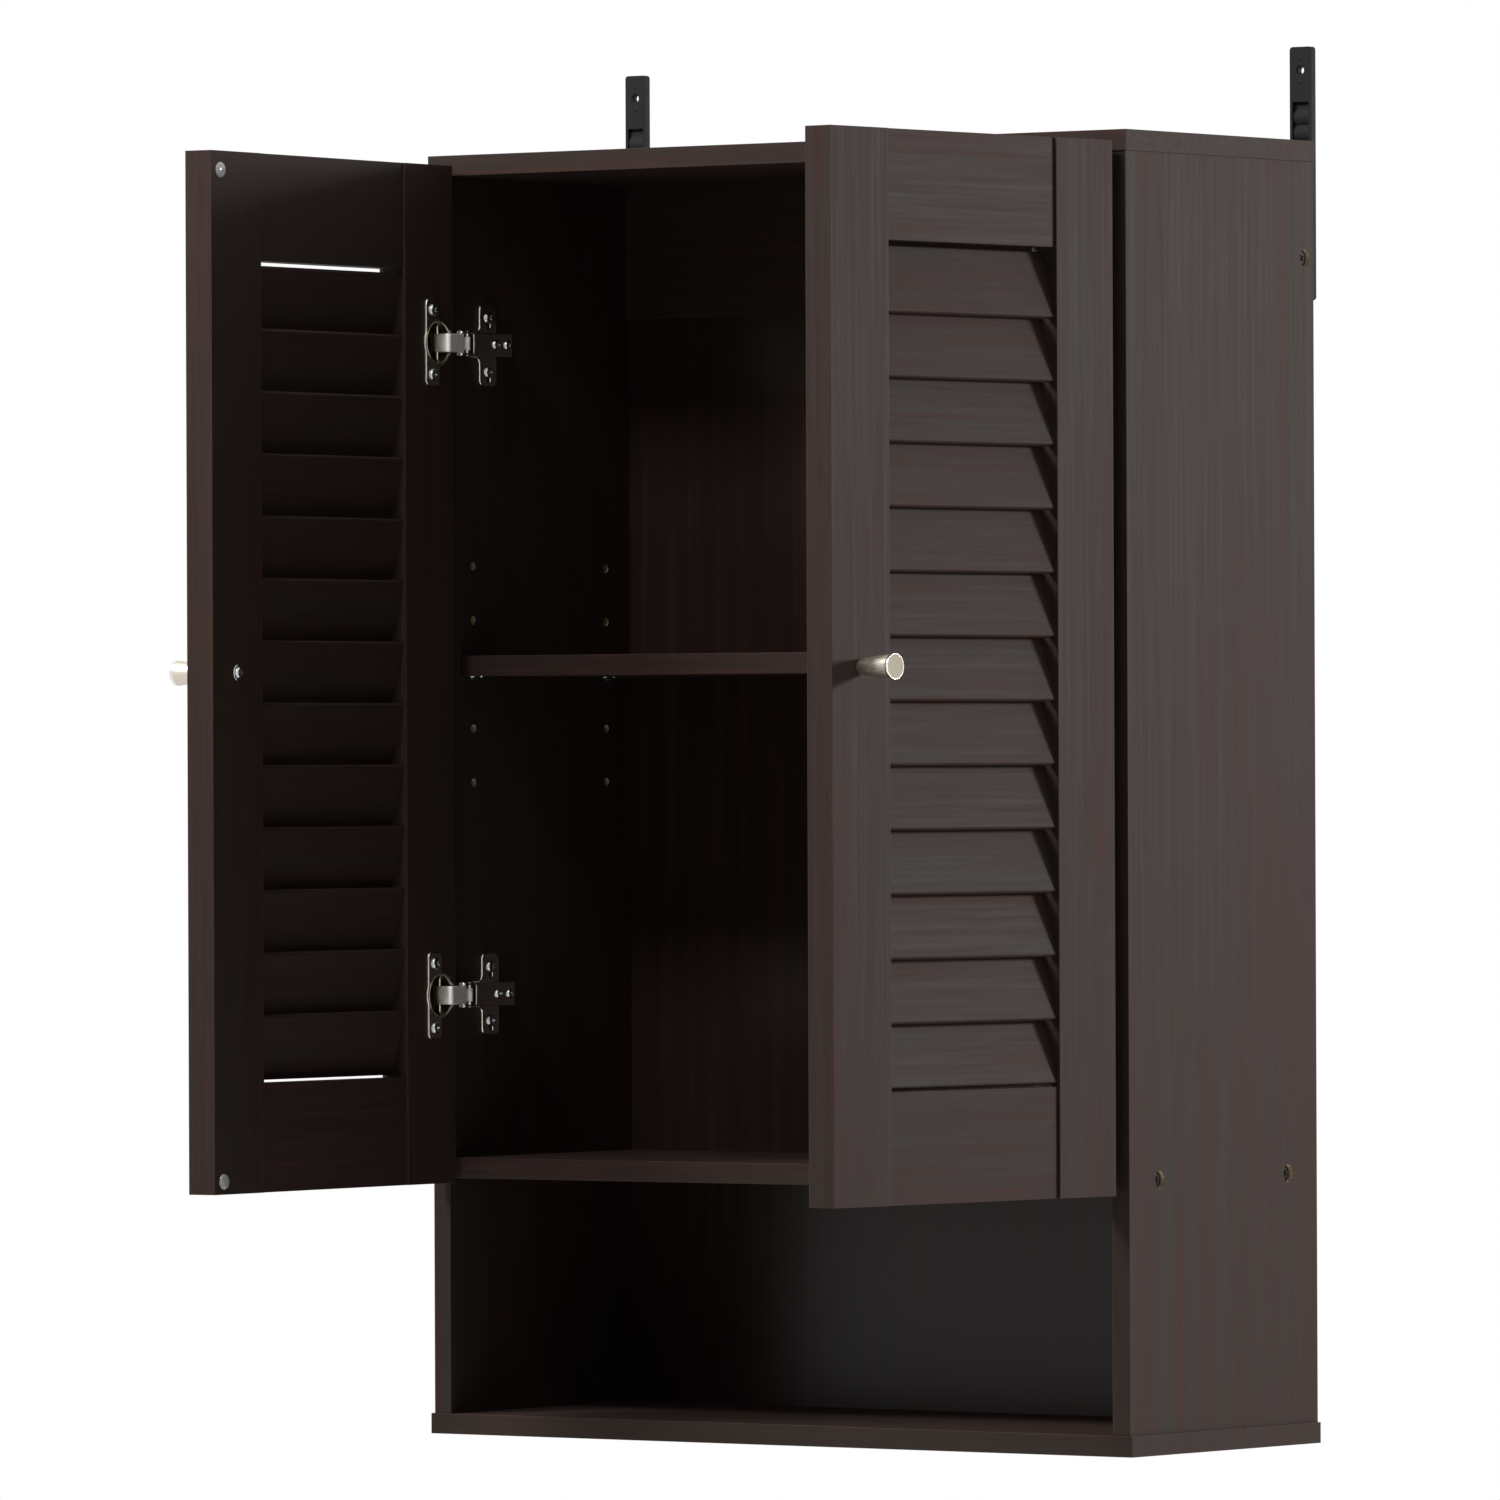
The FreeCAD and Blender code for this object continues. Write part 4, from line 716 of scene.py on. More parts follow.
@dataclass(frozen=True)
class NodeDress:
    """Which finish each node of the frame gets: by its whole name, else by how its name ends."""

    other: str = "hinge_nickel"
    whole_names: dict[str, str] = field(default_factory=lambda: {
        "top_panel": "level_laminate",
        "bottom_panel": "level_laminate",
        "fixed_shelf": "level_laminate",
        "adjustable_shelf": "level_laminate",
        "left_side_panel": "upright_laminate",
        "right_side_panel": "upright_laminate",
        "hanging_rail": "rail_laminate",
        "back_panel": "back_board",
        "shelf_pins": "zinc",
        "carcass_screws": "dark_zinc",
    })
    name_ends: dict[str, str] = field(default_factory=lambda: {
        "stile": "{hand}_stile_laminate",
        "top_rail": "{hand}_rail_laminate",
        "bottom_rail": "{hand}_rail_laminate",
        "slats": "{hand}_rail_laminate",
        "links": "link_nickel",
        "hinge_cup": "{hand}_hinge_cup",
        "dowels": "dowel_wood",
        "wall_bracket": "bracket_black",
        "bumpers": "bumper_gel",
        "knob": "satin_knob",
        "screw": "zinc",
        "screws": "zinc",
    })

    def finish_name(self, node_name: str) -> str:
        """Finish of a node.

        Args:
            node_name: name of the node.

        Returns:
            Name of the finish.
        """
        by_end = next((value for end, value in self.name_ends.items() if node_name.endswith(end)), self.other)
        finish = self.whole_names.get(node_name, by_end)
        return finish.format(hand=node_name.split("_")[0])

    def build(self) -> None:
        """Gives every node of the frame its finish."""
        for name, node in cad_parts.items():
            material = FINISHES[self.finish_name(name)]
            if not node.material_slots:
                node.data.materials.append(material)
            for material_slot in node.material_slots:
                material_slot.material = material
        LOG.info("%d nodes have their finish", len(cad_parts))


def lathe(profile: Profile, segments: int = 48, closed_top: bool = True) -> bmesh.types.BMesh:
    """Turned shape about Z.

    Args:
        profile: radius and height, from the bottom up; a first radius of zero closes the foot.
        segments: facets round the axis.
        closed_top: fills the last ring.

    Returns:
        The open mesh.
    """
    mesh = bmesh.new()
    angles = [FULL_TURN * step / segments for step in range(segments)]
    rings = []
    for radius, height in profile:
        turns = angles if radius else [0.0]
        rings.append([mesh.verts.new((radius * math.cos(a), radius * math.sin(a), height)) for a in turns])
    for lower, upper in zip(rings, rings[1:]):
        for step in range(segments):
            following = (step + 1) % segments
            corners = [lower[step % len(lower)], lower[following % len(lower)],
                       upper[following % len(upper)], upper[step % len(upper)]]
            corners = list(dict.fromkeys(corners))
            if len(corners) > 2:
                mesh.faces.new(corners)
    if closed_top and len(rings[-1]) > 1:
        mesh.faces.new(rings[-1])
    mesh.normal_update()
    return mesh


def finish_mesh(name: str, mesh: bmesh.types.BMesh, materials: Sequence[str],
                smooth_below: float = 35) -> bpy.types.Object:
    """Turns an open mesh into a shown object with smooth faces and crisp edges.

    Args:
        name: name of the object.
        mesh: the open mesh, which is freed.
        materials: finishes, in the order of the faces' material numbers.
        smooth_below: angle in degrees under which an edge is shaded smooth.

    Returns:
        The new object.
    """
    for edge in mesh.edges:
        edge.smooth = len(edge.link_faces) == 2 and edge.calc_face_angle(0) < math.radians(smooth_below)
    for face in mesh.faces:
        face.smooth = True
    data = bpy.data.meshes.new(name)
    mesh.to_mesh(data)
    mesh.free()
    for material in materials:
        data.materials.append(FINISHES[material])
    made = bpy.data.objects.new(name, data)
    bpy.context.scene.collection.objects.link(made)
    return made


@dataclass(frozen=True)
class ScrewShape:
    """Screw with a domed head and a cross recess, head on +Z and seat at zero; metres."""

    name: str
    finish: str
    head: float
    head_height: float
    shank: float
    length: float
    neck: float = 0.0
    neck_length: float = 0.0
    thread_pitch: float = 1.4 * MM
    washer: float = 0.0
    segments: int = 40
    core_share: float = 0.42
    dome_shares: Profile = ((1.0, 0.32), (0.97, 0.54), (0.88, 0.77), (0.74, 0.92), (0.58, 1.0))
    washer_shares: Profile = ((1.0, 0.0), (1.0, 0.2), (0.94, 0.33))
    washer_foot_shares: tuple[float, float] = (1.08, 0.3)
    arm_share: float = 0.24
    arm_half_share: float = 0.052
    recess_depth_share: float = 0.75
    recess_foot_shares: tuple[float, float] = (0.55, 0.7)

    def build(self) -> bpy.types.Object:
        """Makes the master that the copies are taken from.

        Returns:
            The master.
        """
        mesh = lathe([*self._shank(), *self._head()], self.segments, closed_top=False)
        self._recess(mesh)
        mesh.normal_update()
        return finish_mesh(self.name, mesh, [self.finish], 40)

    def _shank(self) -> list[tuple[float, float]]:
        """Outline of the point, the thread and the neck.

        Returns:
            Radius and height, from the point up to the seat.
        """
        core, crest = self.shank * self.core_share, self.shank / 2
        tip, lead = -self.length, 0.6 * MM
        points = [(0.0, tip), (core * 0.5, tip + self.shank * 0.3)]
        thread_top = -self.neck_length - lead
        start = tip + self.shank * 0.6
        for turn in range(max(2, int((thread_top - start) / self.thread_pitch))):
            height = start + turn * self.thread_pitch
            points += [(core, height), (crest, height + self.thread_pitch * 0.45)]
        radius = self.neck / 2 if self.neck else core
        return points + [(core, thread_top), (radius, -self.neck_length * 0.98 - 0.1 * MM), (radius, 0.0)]

    def _head(self) -> list[tuple[float, float]]:
        """Outline of the washer, where there is one, and of the head up to its crown.

        Returns:
            Radius and height, from the seat up.
        """
        head, dome = self.head / 2, self.head_height
        foot = [(head, 0.0)]
        if self.washer:
            reach, rise = self.washer_foot_shares
            foot = [(self.washer / 2 * wide, dome * high) for wide, high in self.washer_shares]
            foot.append((head * reach, dome * rise))
        return foot + [(head * wide, dome * high) for wide, high in self.dome_shares]

    def _recess(self, mesh: bmesh.types.BMesh) -> None:
        """Fills the head's crown round a cross that sinks into it.

        Args:
            mesh: the turned screw, open at its crown.
        """
        crown = self.head_height
        rim = [vert for vert in mesh.verts if abs(vert.co.z - crown) < 1e-9]
        edges = list({edge for vert in rim for edge in vert.link_edges if all(v in rim for v in edge.verts)})
        arm, half = self.head * self.arm_share, self.head * self.arm_half_share
        outline = [(arm, half), (half, half), (half, arm), (-half, arm), (-half, half), (-arm, half),
                   (-arm, -half), (-half, -half), (-half, -arm), (half, -arm), (half, -half), (arm, -half)]
        mouth = [mesh.verts.new((x, y, crown)) for x, y in outline]
        bottom = crown - self.head_height * self.recess_depth_share
        narrow, thin = self.recess_foot_shares
        floor = [mesh.verts.new((x * narrow, y * thin, bottom)) for x, y in outline]
        following = [*range(1, len(outline)), 0]
        edges += [mesh.edges.new((mouth[i], mouth[j])) for i, j in enumerate(following)]
        bmesh.ops.triangle_fill(mesh, edges=edges, use_beauty=True, normal=(0, 0, 1))
        for i, j in enumerate(following):
            mesh.faces.new((mouth[j], mouth[i], floor[i], floor[j]))
        mesh.faces.new(floor)


@dataclass(frozen=True)
class HoleLiner:
    """Bare wall and floor of a drilled hole, mouth on +Z at zero and open; metres."""

    name: str
    radius: float
    depth: float
    floor: bool = True
    skin: float = 0.03 * MM
    segments: int = 40

    def build(self) -> bpy.types.Object:
        """Makes the master that the copies are taken from.

        Returns:
            The master.
        """
        radius, bottom = self.radius - self.skin, -self.depth + self.skin
        profile = [(0.0, bottom)] if self.floor else []
        profile += [(radius, bottom), (radius, -self.skin)]
        mesh = lathe(profile, self.segments, closed_top=False)
        bmesh.ops.reverse_faces(mesh, faces=mesh.faces)
        return finish_mesh(self.name, mesh, ["particle_board"], 40)


class Spreader:
    """Geometry Nodes group that sets one master at many places, each facing its own way."""

    def __init__(self) -> None:
        """Makes the group and its named inputs."""
        self.group = bpy.data.node_groups.new("spread_pieces", "GeometryNodeTree")
        face = self.group.interface
        face.new_socket("Places", in_out="INPUT", socket_type="NodeSocketGeometry")
        self.piece = face.new_socket("Piece", in_out="INPUT", socket_type="NodeSocketObject").identifier
        self.finish = face.new_socket("Finish", in_out="INPUT", socket_type="NodeSocketMaterial").identifier
        self.spin = face.new_socket("Spin", in_out="INPUT", socket_type="NodeSocketFloat").identifier
        face.new_socket("Pieces", in_out="OUTPUT", socket_type="NodeSocketGeometry")
        self._wire()

    def _wire(self) -> None:
        """Sets the nodes of the group and links them."""
        add = self.group.nodes.new
        given = add("NodeGroupInput")
        made = add("NodeGroupOutput")
        info = add("GeometryNodeObjectInfo")
        facing = add("GeometryNodeInputNamedAttribute")
        facing.data_type = "FLOAT_VECTOR"
        facing.inputs["Name"].default_value = "facing"
        align = add("FunctionNodeAlignRotationToVector")
        align.axis = "Z"
        number = add("GeometryNodeInputIndex")
        turn = add("ShaderNodeMath")
        turn.operation = "MULTIPLY"
        about = add("FunctionNodeAxisAngleToRotation")
        rotate = add("FunctionNodeRotateRotation")
        rotate.rotation_space = "LOCAL"
        spread = add("GeometryNodeInstanceOnPoints")
        real = add("GeometryNodeRealizeInstances")
        paint = add("GeometryNodeSetMaterial")
        wires = (
            (given.outputs["Places"], spread.inputs["Points"]),
            (given.outputs["Piece"], info.inputs["Object"]),
            (info.outputs["Geometry"], spread.inputs["Instance"]),
            (facing.outputs["Attribute"], align.inputs["Vector"]),
            (number.outputs[0], turn.inputs[0]),
            (given.outputs["Spin"], turn.inputs[1]),
            (turn.outputs[0], about.inputs["Angle"]),
            (align.outputs["Rotation"], rotate.inputs["Rotation"]),
            (about.outputs["Rotation"], rotate.inputs["Rotate By"]),
            (rotate.outputs["Rotation"], spread.inputs["Rotation"]),
            (spread.outputs["Instances"], real.inputs["Geometry"]),
            (real.outputs["Geometry"], paint.inputs["Geometry"]),
            (given.outputs["Finish"], paint.inputs["Material"]),
            (paint.outputs["Geometry"], made.inputs["Pieces"]),
        )
        for start, end in wires:
            self.group.links.new(start, end)

    def spread(self, name: str, master: bpy.types.Object, places: Sequence[Place], finish: str, body: str,
               slot: str, replaces: Sequence[str] = (), spin: float = 0.9) -> bpy.types.Object:
        """Sets copies of a master on one body, as one plain mesh.

        Args:
            name: name of the new piece.
            master: the object to copy.
            places: point and facing direction of each copy.
            finish: name of the finish.
            body: the body that the piece rides on.
            slot: name of a material slot; not used.
            replaces: nodes that the piece stands for.
            spin: turn of each copy about its own axis, times its number.

        Returns:
            The new piece.
        """
        points = bpy.data.meshes.new(f"{name}_places")
        points.from_pydata([tuple(at) for at, _ in places], [], [])
        attribute = points.attributes.new("facing", "FLOAT_VECTOR", "POINT")
        attribute.data.foreach_set("vector", [value for _, way in places for value in way])
        source = bpy.data.objects.new(f"{name}_source", points)
        bpy.context.scene.collection.objects.link(source)
        modifier = source.modifiers.new("spread", "NODES")
        modifier.node_group = self.group
        modifier[self.piece] = master
        modifier[self.finish] = FINISHES[finish]
        modifier[self.spin] = spin
        bpy.context.view_layer.update()
        evaluated = source.evaluated_get(bpy.context.evaluated_depsgraph_get())
        data = bpy.data.meshes.new_from_object(evaluated)
        data.name = name
        bpy.data.objects.remove(source)
        piece = bpy.data.objects.new(name, data)
        bpy.context.scene.collection.objects.link(piece)
        return settle(piece, body, replaces)


def settle(piece: bpy.types.Object, body: str, replaces: Sequence[str] = ()) -> bpy.types.Object:
    """Puts a piece on its body and hides the nodes that it stands for.

    Args:
        piece: the finished piece.
        body: the body that it rides on.
        replaces: nodes that it stands for.

    Returns:
        The same piece.
    """
    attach(piece, body)
    if replaces:
        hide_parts(*replaces)
    LOG.info("%s rides on %s", piece.name, body)
    return piece


def remove(*spares: bpy.types.Object) -> None:
    """Deletes masters whose copies are made."""
    for spare in spares:
        bpy.data.objects.remove(spare)


def mirrored(places: Iterable[Place]) -> list[Place]:
    """Places of the left half, followed by their mirror images.

    Args:
        places: point and facing direction of each place on the left.

    Returns:
        The places of both halves.
    """
    left = list(places)
    flip = Vector((-1, 1, 1))
    return left + [(at * flip, way * flip) for at, way in left]


@dataclass
class CarcassFasteners:
    """Screws, drilled holes and moulding marks of the carcass."""

    spreader: Spreader
    connector: ScrewShape = ScrewShape(
        "connector", "dark_zinc", head=9.4 * MM, head_height=0.9 * MM, shank=4.8 * MM, length=40 * MM,
        neck=6.4 * MM, neck_length=9 * MM, thread_pitch=2.2 * MM)
    bracket_screw: ScrewShape = ScrewShape(
        "bracket_screw", "zinc", head=7 * MM, head_height=2 * MM, shank=3.5 * MM, length=22 * MM)
    screw_lines: tuple[float, float] = (30 * MM, 160 * MM)
    rail_line: float = 181 * MM
    shelf_height: float = 157 * MM
    rail_screw_height: float = 686 * MM
    bore_radius: float = 5 * MM
    bore_depth: float = 3 * MM
    bracket_line: float = 8.5 * MM
    bracket_screw_drops: tuple[float, float] = (52 * MM, 82 * MM)
    bracket_seat: float = 2 * MM
    bracket_face: float = 4.49 * MM
    mark_reach: float = 6.8 * MM
    mark_profile: Profile = (
        (0.0, 0.0), (1.4 * MM, 0.0), (1.4 * MM, 0.03 * MM), (1.2 * MM, 0.06 * MM), (0.0, 0.03 * MM))
    pin_row_height: float = 448 * MM
    pin_pitch: float = 32 * MM
    empty_rows: tuple[int, ...] = (-2, -1, 1, 2)
    pin_lines: tuple[float, float] = (24 * MM, 154 * MM)
    pin_radius: float = 2.5 * MM
    pin_depth: float = 9 * MM

    def build(self) -> None:
        """Makes the screws, the bare walls of the holes, and the moulding marks."""
        self._connectors()
        self._bracket_screws()
        self._pin_holes()
        self._moulding_marks()

    def _bores(self) -> list[Place]:
        """Mouths of the counterbores on the left half, facing out.

        Returns:
            Point and facing direction of each mouth.
        """
        out = Vector((-1, 0, 0))
        up = Vector((0, 0, 1))
        column = -CARCASS.side_x + CARCASS.board / 2
        bores = []
        for line in self.screw_lines:
            y = CARCASS.front_y + line
            bores.append((Vector((-CARCASS.side_x, y, CARCASS.foot_z + self.shelf_height)), out))
            bores.append((Vector((column, y, CARCASS.top_z)), up))
            bores.append((Vector((column, y, CARCASS.foot_z)), -up))
        height = CARCASS.foot_z + self.rail_screw_height
        bores.append((Vector((-CARCASS.side_x, CARCASS.front_y + self.rail_line, height)), out))
        return bores

    def _connectors(self) -> None:
        """Connector screws, and the bare walls of their counterbores."""
        master = self.connector.build()
        bores = mirrored(self._bores())
        seats = [(at - way * self.bore_depth, way) for at, way in bores]
        self.spreader.spread("cross_head_carcass_screws", master, seats, "dark_zinc", "cabinet",
                             "dark_screws", ["carcass_screws"])
        liner = HoleLiner("bore_liner", self.bore_radius, self.bore_depth, floor=False).build()
        self.spreader.spread("bare_screw_bores", liner, bores, "particle_board", "cabinet",
                             "carcass_laminate")
        remove(master, liner)

    def _bracket_screws(self) -> None:
        """Screws behind the wall brackets."""
        master = self.bracket_screw.build()
        x = -CARCASS.side_x + self.bracket_line
        heights = (CARCASS.top_z - drop for drop in self.bracket_screw_drops)
        places = mirrored((Vector((x, -self.bracket_seat, z)), Vector((0, 1, 0))) for z in heights)
        self.spreader.spread("cross_head_bracket_screws", master, places, "zinc", "cabinet", "bright_screws",
                             ["bracket_screws"])
        remove(master)

    def _pin_holes(self) -> None:
        """Bare walls of the empty shelf-pin holes."""
        liner = HoleLiner("pin_hole_liner", self.pin_radius, self.pin_depth).build()
        middle = CARCASS.foot_z + self.pin_row_height
        rows = [middle + step * self.pin_pitch for step in self.empty_rows]
        columns = [CARCASS.front_y + line for line in self.pin_lines]
        inboard = Vector((1, 0, 0))
        places = mirrored((Vector((-CARCASS.inner_x, y, z)), inboard) for z in rows for y in columns)
        self.spreader.spread("bare_pin_holes", liner, places, "particle_board", "cabinet", "carcass_laminate")
        remove(liner)

    def _moulding_marks(self) -> None:
        """Round ejector marks above and below the hole of each wall bracket."""
        mark = finish_mesh("ejector_mark", lathe(self.mark_profile, 32), ["bracket_black"], 20)
        x = -CARCASS.side_x + self.bracket_line
        heights = (-self.mark_reach, self.mark_reach)
        places = mirrored((Vector((x, -self.bracket_face, z)), Vector((0, -1, 0))) for z in heights)
        self.spreader.spread("bracket_ejector_marks", mark, places, "bracket_black", "cabinet",
                             "bracket_plastic")
        remove(mark)


@dataclass
class HingeFasteners:
    """Cross-head screws of the hinges on the carcass and on the doors."""

    spreader: Spreader
    small: ScrewShape = ScrewShape(
        "small_screw", "zinc", head=7 * MM, head_height=1.6 * MM, shank=3.4 * MM, length=10.5 * MM)
    adjuster: ScrewShape = ScrewShape(
        "adjuster", "zinc", head=6 * MM, head_height=1.5 * MM, shank=3.8 * MM, length=6.5 * MM,
        thread_pitch=0.8 * MM)
    plate_line: float = 37 * MM
    plate_reach: float = 16 * MM
    plate_seat: float = 2.2 * MM
    arm_lines: tuple[float, float] = (33.7 * MM, 44.8 * MM)
    arm_seat: float = 10.5 * MM
    cup_line: float = 22.5 * MM
    cup_reach: float = 19 * MM
    flange: float = 1.2 * MM

    def build(self) -> None:
        """Makes the screws."""
        small, adjuster = self.small.build(), self.adjuster.build()
        inboard = Vector((1, 0, 0))
        plates, arms = [], []
        for height in CARCASS.hinge_heights():
            for side in (-self.plate_reach, self.plate_reach):
                y = CARCASS.front_y + self.plate_line
                plates.append((Vector((-CARCASS.inner_x + self.plate_seat, y, height + side)), inboard))
            for line in self.arm_lines:
                y = CARCASS.front_y + line
                arms.append((Vector((-CARCASS.inner_x + self.arm_seat, y, height)), inboard))
        self.spreader.spread("cross_head_plate_screws", small, mirrored(plates), "zinc", "cabinet",
                             "bright_screws", ["hinge_plate_screws"])
        self.spreader.spread("cross_head_arm_screws", adjuster, mirrored(arms), "zinc", "cabinet",
                             "bright_screws", ["hinge_arm_screws"])
        for hand in Hand:
            self._cup_screws(hand, small)
        remove(small, adjuster)

    def _cup_screws(self, hand: Hand, master: bpy.types.Object) -> None:
        """Screws of the hinge cups of one door.

        Args:
            hand: which door.
            master: the screw to copy.
        """
        way = DOOR.inward(hand)
        seat = DOOR.thickness + self.flange
        places = [(DOOR.point(hand, self.cup_line, seat, height - DOOR.z + side), way)
                  for height in CARCASS.hinge_heights() for side in (-self.cup_reach, self.cup_reach)]
        name, body = f"{hand.word}_cross_head_cup_screws", f"{hand.word}_door"
        self.spreader.spread(name, master, places, "zinc", body, "bright_screws",
                             [f"{hand.word}_cup_screws"])


@dataclass
class DoorFittings:
    """Knob, knob screw and bumpers of both doors."""

    spreader: Spreader
    knob_line: float = 223 * MM
    knob_body: Profile = (
        (0.0, 0.0), (4.25 * MM, 0.0), (4.5 * MM, 0.25 * MM), (5.1 * MM, 5 * MM), (5.85 * MM, 11.5 * MM),
        (6.55 * MM, 17.5 * MM), (7.1 * MM, 22.4 * MM), (7.18 * MM, 23 * MM))
    knob_rim: Profile = (
        (7.38 * MM, 23.9 * MM), (7.45 * MM, 24.45 * MM), (7.3 * MM, 24.88 * MM), (7.05 * MM, 25 * MM),
        (6.8 * MM, 24.9 * MM))
    knob_dish: Profile = ((6.65 * MM, 24.65 * MM), (4.2 * MM, 24.55 * MM), (0.0, 24.53 * MM))
    rim_foot: float = 23.05 * MM
    dish_radius: float = 6.1 * MM
    dish_top: float = 24.7 * MM
    bumper_line: float = 239 * MM
    bumper_heights: tuple[float, float] = (7.5 * MM, 588 * MM)
    bumper_profile: Profile = (
        (0.0, 0.0), (4.5 * MM, 0.0), (4.5 * MM, 0.35 * MM), (4.35 * MM, 0.75 * MM), (3.95 * MM, 1.18 * MM),
        (3.3 * MM, 1.55 * MM), (2.4 * MM, 1.82 * MM), (1.2 * MM, 1.96 * MM), (0.0, 2.0 * MM))
    truss: ScrewShape = ScrewShape(
        "truss_screw", "zinc", head=6.6 * MM, head_height=2.2 * MM, shank=4 * MM, length=27 * MM,
        thread_pitch=0.7 * MM, washer=9.5 * MM)

    def build(self) -> None:
        """Makes the fittings of both doors."""
        truss = self.truss.build()
        dome = finish_mesh("bumper_dome", lathe(self.bumper_profile), ["bumper_gel"], 50)
        for hand in Hand:
            body, way = f"{hand.word}_door", DOOR.inward(hand)
            self._knob(hand)
            seat = [(DOOR.point(hand, self.knob_line, DOOR.thickness, DOOR.height / 2), way)]
            self.spreader.spread(f"{hand.word}_truss_screw", truss, seat, "zinc", body, "bright_screws",
                                 [f"{hand.word}_knob_screw"])
            spots = [(DOOR.point(hand, self.bumper_line, DOOR.thickness, up), way)
                     for up in self.bumper_heights]
            self.spreader.spread(f"{hand.word}_clear_bumpers", dome, spots, "bumper_gel", body,
                                 "bumper_plastic", [f"{hand.word}_bumpers"])
        remove(truss, dome)

    def _knob(self, hand: Hand) -> None:
        """Turned knob: slim waist, flared head, dished face inside a polished rim.

        Args:
            hand: which door.
        """
        mesh = lathe([*self.knob_body, *self.knob_rim, *self.knob_dish], 96)
        for face in mesh.faces:
            middle = face.calc_center_median()
            on_head = middle.z > self.rim_foot
            in_dish = math.hypot(middle.x, middle.y) < self.dish_radius and middle.z < self.dish_top
            face.material_index = int(on_head) + int(on_head and in_dish)
        finishes = ["satin_knob", "polished_rim", "knob_face"]
        knob = finish_mesh(f"{hand.word}_turned_knob", mesh, finishes, 30)
        base = DOOR.point(hand, self.knob_line, 0, DOOR.height / 2)
        turn = Vector((0, 0, 1)).rotation_difference(-DOOR.inward(hand)).to_matrix().to_4x4()
        knob.data.transform(Matrix.Translation(base) @ turn)
        settle(knob, f"{hand.word}_door", [f"{hand.word}_knob"])


@dataclass(frozen=True)
class SoftLight:
    """Soft white lamp at its own place, which looks at the middle of the cabinet; metres and watts."""

    name: str
    at: tuple[float, float, float]
    width: float
    height: float
    power: float

    def build(self, target: Vector) -> None:
        """Makes the lamp.

        Args:
            target: the point that it looks at.
        """
        lamp = bpy.data.lights.new(self.name, "AREA")
        lamp.shape = "RECTANGLE"
        lamp.size, lamp.size_y = self.width, self.height
        lamp.energy = self.power
        stand = bpy.data.objects.new(self.name, lamp)
        stand.location = self.at
        stand.rotation_euler = (Vector(self.at) - target).to_track_quat("Z", "Y").to_euler()
        bpy.context.scene.collection.objects.link(stand)


@dataclass(frozen=True)
class Viewpoint:
    """Camera at the photograph's place, in metres and degrees."""

    at: tuple[float, float, float] = (4.4428, -6.2135, -0.4027)
    yaw: float = 36.535
    pitch: float = 0.076
    roll: float = -0.221
    lens: float = 310.1
    sensor: float = 36

    def build(self) -> None:
        """Makes the camera and gives it to the scene."""
        data = bpy.data.cameras.new("photo_view")
        data.lens = self.lens
        data.sensor_width = self.sensor
        camera = bpy.data.objects.new("photo_view", data)
        turn = Matrix.Rotation(math.radians(self.yaw), 4, "Z")
        turn @= Matrix.Rotation(math.radians(90 + self.pitch), 4, "X")
        turn @= Matrix.Rotation(math.radians(self.roll), 4, "Z")
        camera.matrix_world = Matrix.Translation(self.at) @ turn
        bpy.context.scene.collection.objects.link(camera)
        bpy.context.scene.camera = camera


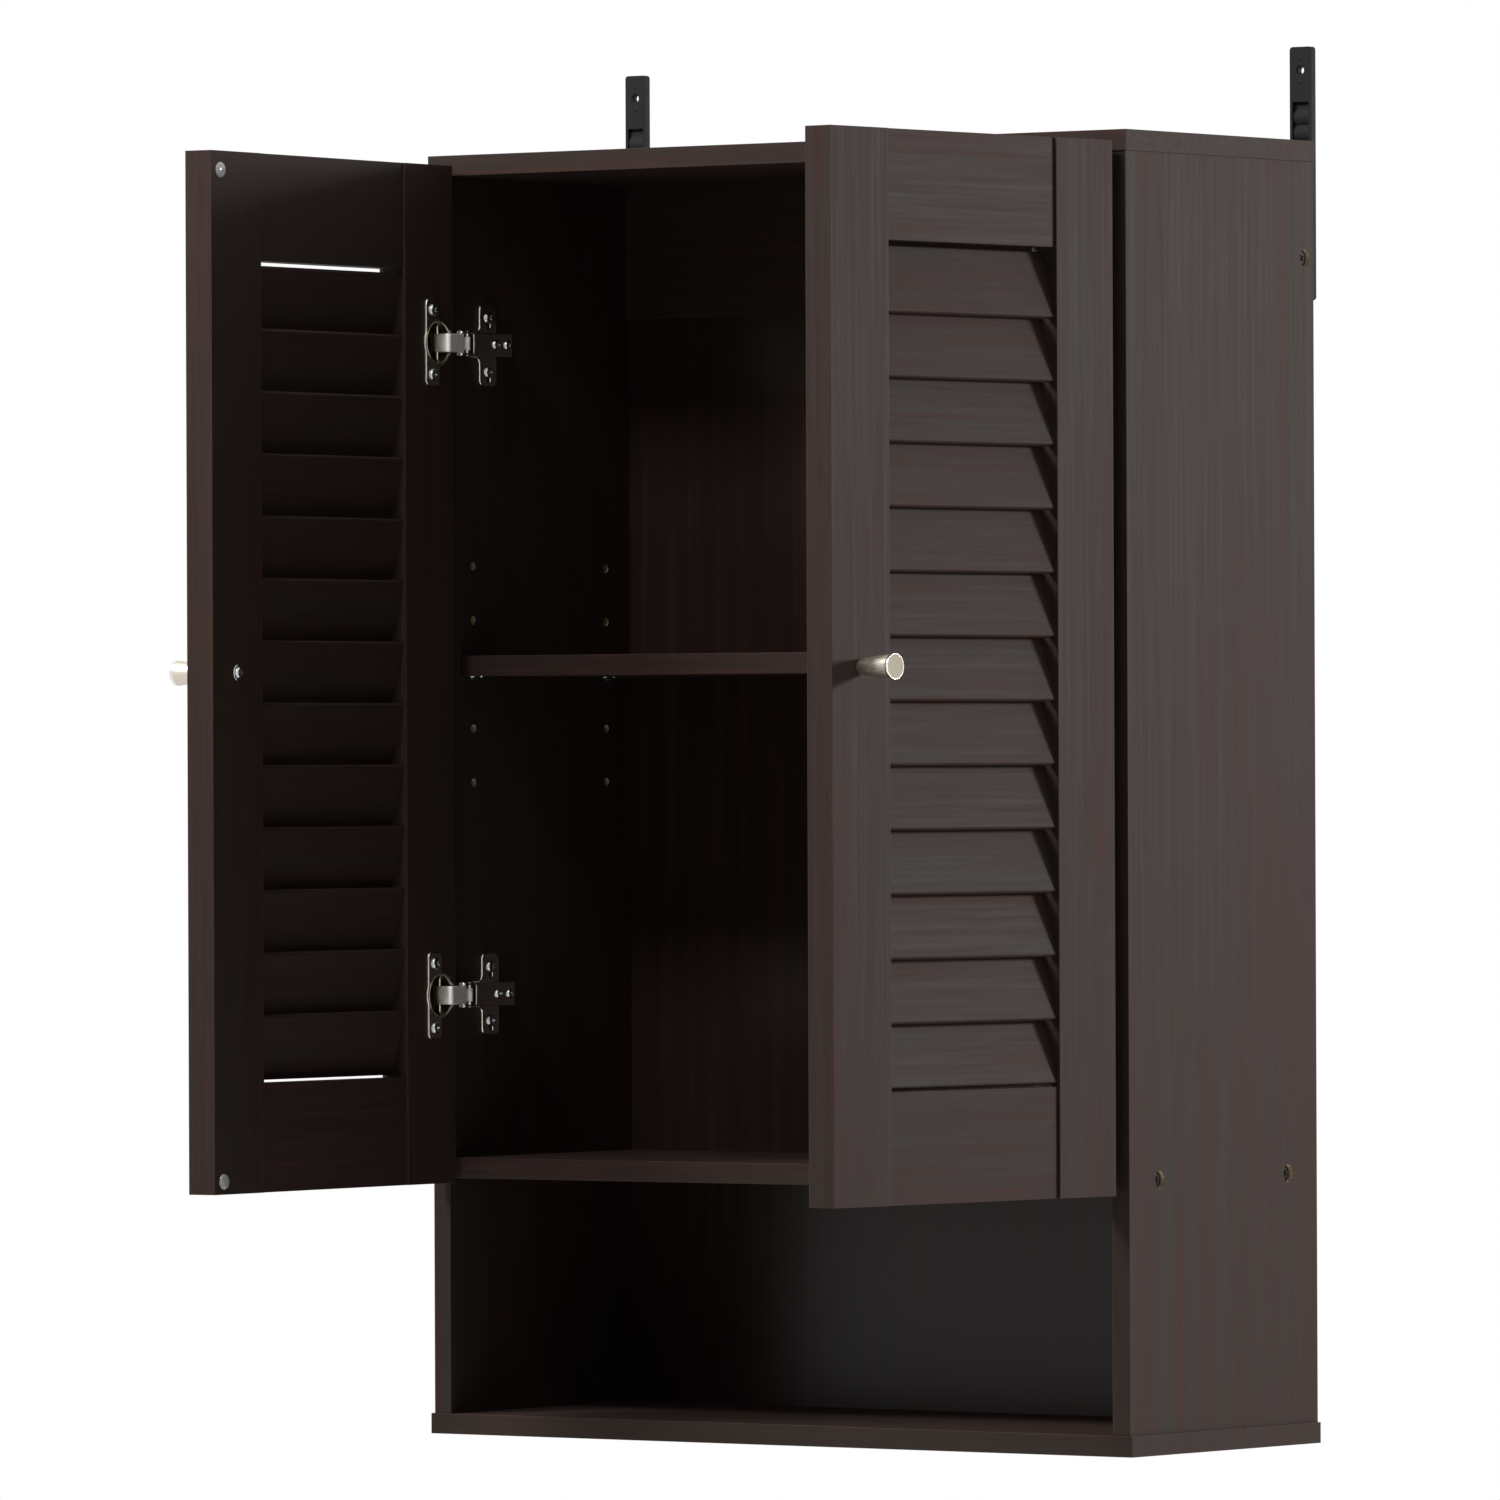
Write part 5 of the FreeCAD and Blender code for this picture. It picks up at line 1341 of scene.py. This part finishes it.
@dataclass(frozen=True)
class Studio:
    """Pale floor, white surroundings, soft lamps and the camera."""

    lamps: tuple[SoftLight, ...] = (
        SoftLight("side_lamp", (2.48, 1.95, 0.15), 0.6, 0.45, 78.0),
        SoftLight("left_lamp", (-1.23, -1.94, 1.42), 0.7, 0.7, 50.0),
        SoftLight("front_lamp", (-0.05, -1.75, 1.32), 0.4, 0.4, 17.5),
    )
    camera: Viewpoint = Viewpoint()
    floor_z: float = -1.4
    floor_half: float = 6
    floor_dark: Colour = (0.72, 0.72, 0.71)
    floor_light: Colour = (0.78, 0.78, 0.77)
    cloud_scale: float = 3
    shade_colour: Colour = (0.93, 1.07, 0.98)
    shade_strength: float = 0.11

    def build(self) -> None:
        """Makes everything round the object."""
        low, high = CAD_BOX
        middle = (low + high) / 2
        for lamp in self.lamps:
            lamp.build(middle)
        self._floor()
        self._surroundings()
        self.camera.build()
        bpy.context.scene.view_settings.view_transform = "Standard"
        LOG.info("the studio is set")

    def _floor_finish(self) -> bpy.types.Material:
        """Pale floor that the camera sees as white from above, and not at all from below.

        Returns:
            The material.
        """
        shader = Shader("pale_floor")
        cloud = shader.noise(object_place(shader), self.cloud_scale, 3)
        colour = shader.blend(cloud, self.floor_dark, self.floor_light)
        plain = shader.node("ShaderNodeBsdfDiffuse", {"Color": colour})
        white = shader.node("ShaderNodeEmission", {"Color": WHITE, "Strength": 1.0})
        above = shader.mix(shader.seen_share(), plain, white)
        below = shader.node("ShaderNodeNewGeometry").outputs["Backfacing"]
        return shader.show(shader.mix(below, above, shader.node("ShaderNodeBsdfTransparent")))

    def _floor(self) -> None:
        """Flat floor under the cabinet, which isn't a piece of it."""
        mesh = bmesh.new()
        bmesh.ops.create_grid(mesh, x_segments=4, y_segments=4, size=self.floor_half)
        for vert in mesh.verts:
            vert.co.z = self.floor_z
        data = bpy.data.meshes.new("floor")
        mesh.to_mesh(data)
        mesh.free()
        data.materials.append(self._floor_finish())
        floor = bpy.data.objects.new("floor", data)
        bpy.context.scene.collection.objects.link(floor)

    def _surroundings(self) -> None:
        """White to the camera, to reflections and through clear plastic, and dim as light."""
        world = bpy.data.worlds.new("surroundings")
        bpy.context.scene.world = world
        world.use_nodes = True
        writer = NodeWriter(world.node_tree)
        seen = writer.node("ShaderNodeBackground", {"Color": WHITE})
        shade = {"Color": self.shade_colour, "Strength": self.shade_strength}
        unseen = writer.node("ShaderNodeBackground", shade)
        mix = writer.mix(writer.seen_share(), unseen, seen)
        writer.node("ShaderNodeOutputWorld", {"Surface": mix.outputs[0]})


def main() -> None:
    """Dresses the frame, adds the fine pieces and sets up the studio."""
    logging.basicConfig(level=logging.INFO, format="%(name)s: %(message)s")
    NodeDress().build()
    spreader = Spreader()
    assemblies: tuple[Callable, ...] = (CarcassFasteners, HingeFasteners, DoorFittings)
    for assembly in assemblies:
        assembly(spreader).build()
        LOG.info("%s is built", assembly.__name__)
    Studio().build()


if __name__ == "__main__":
    main()
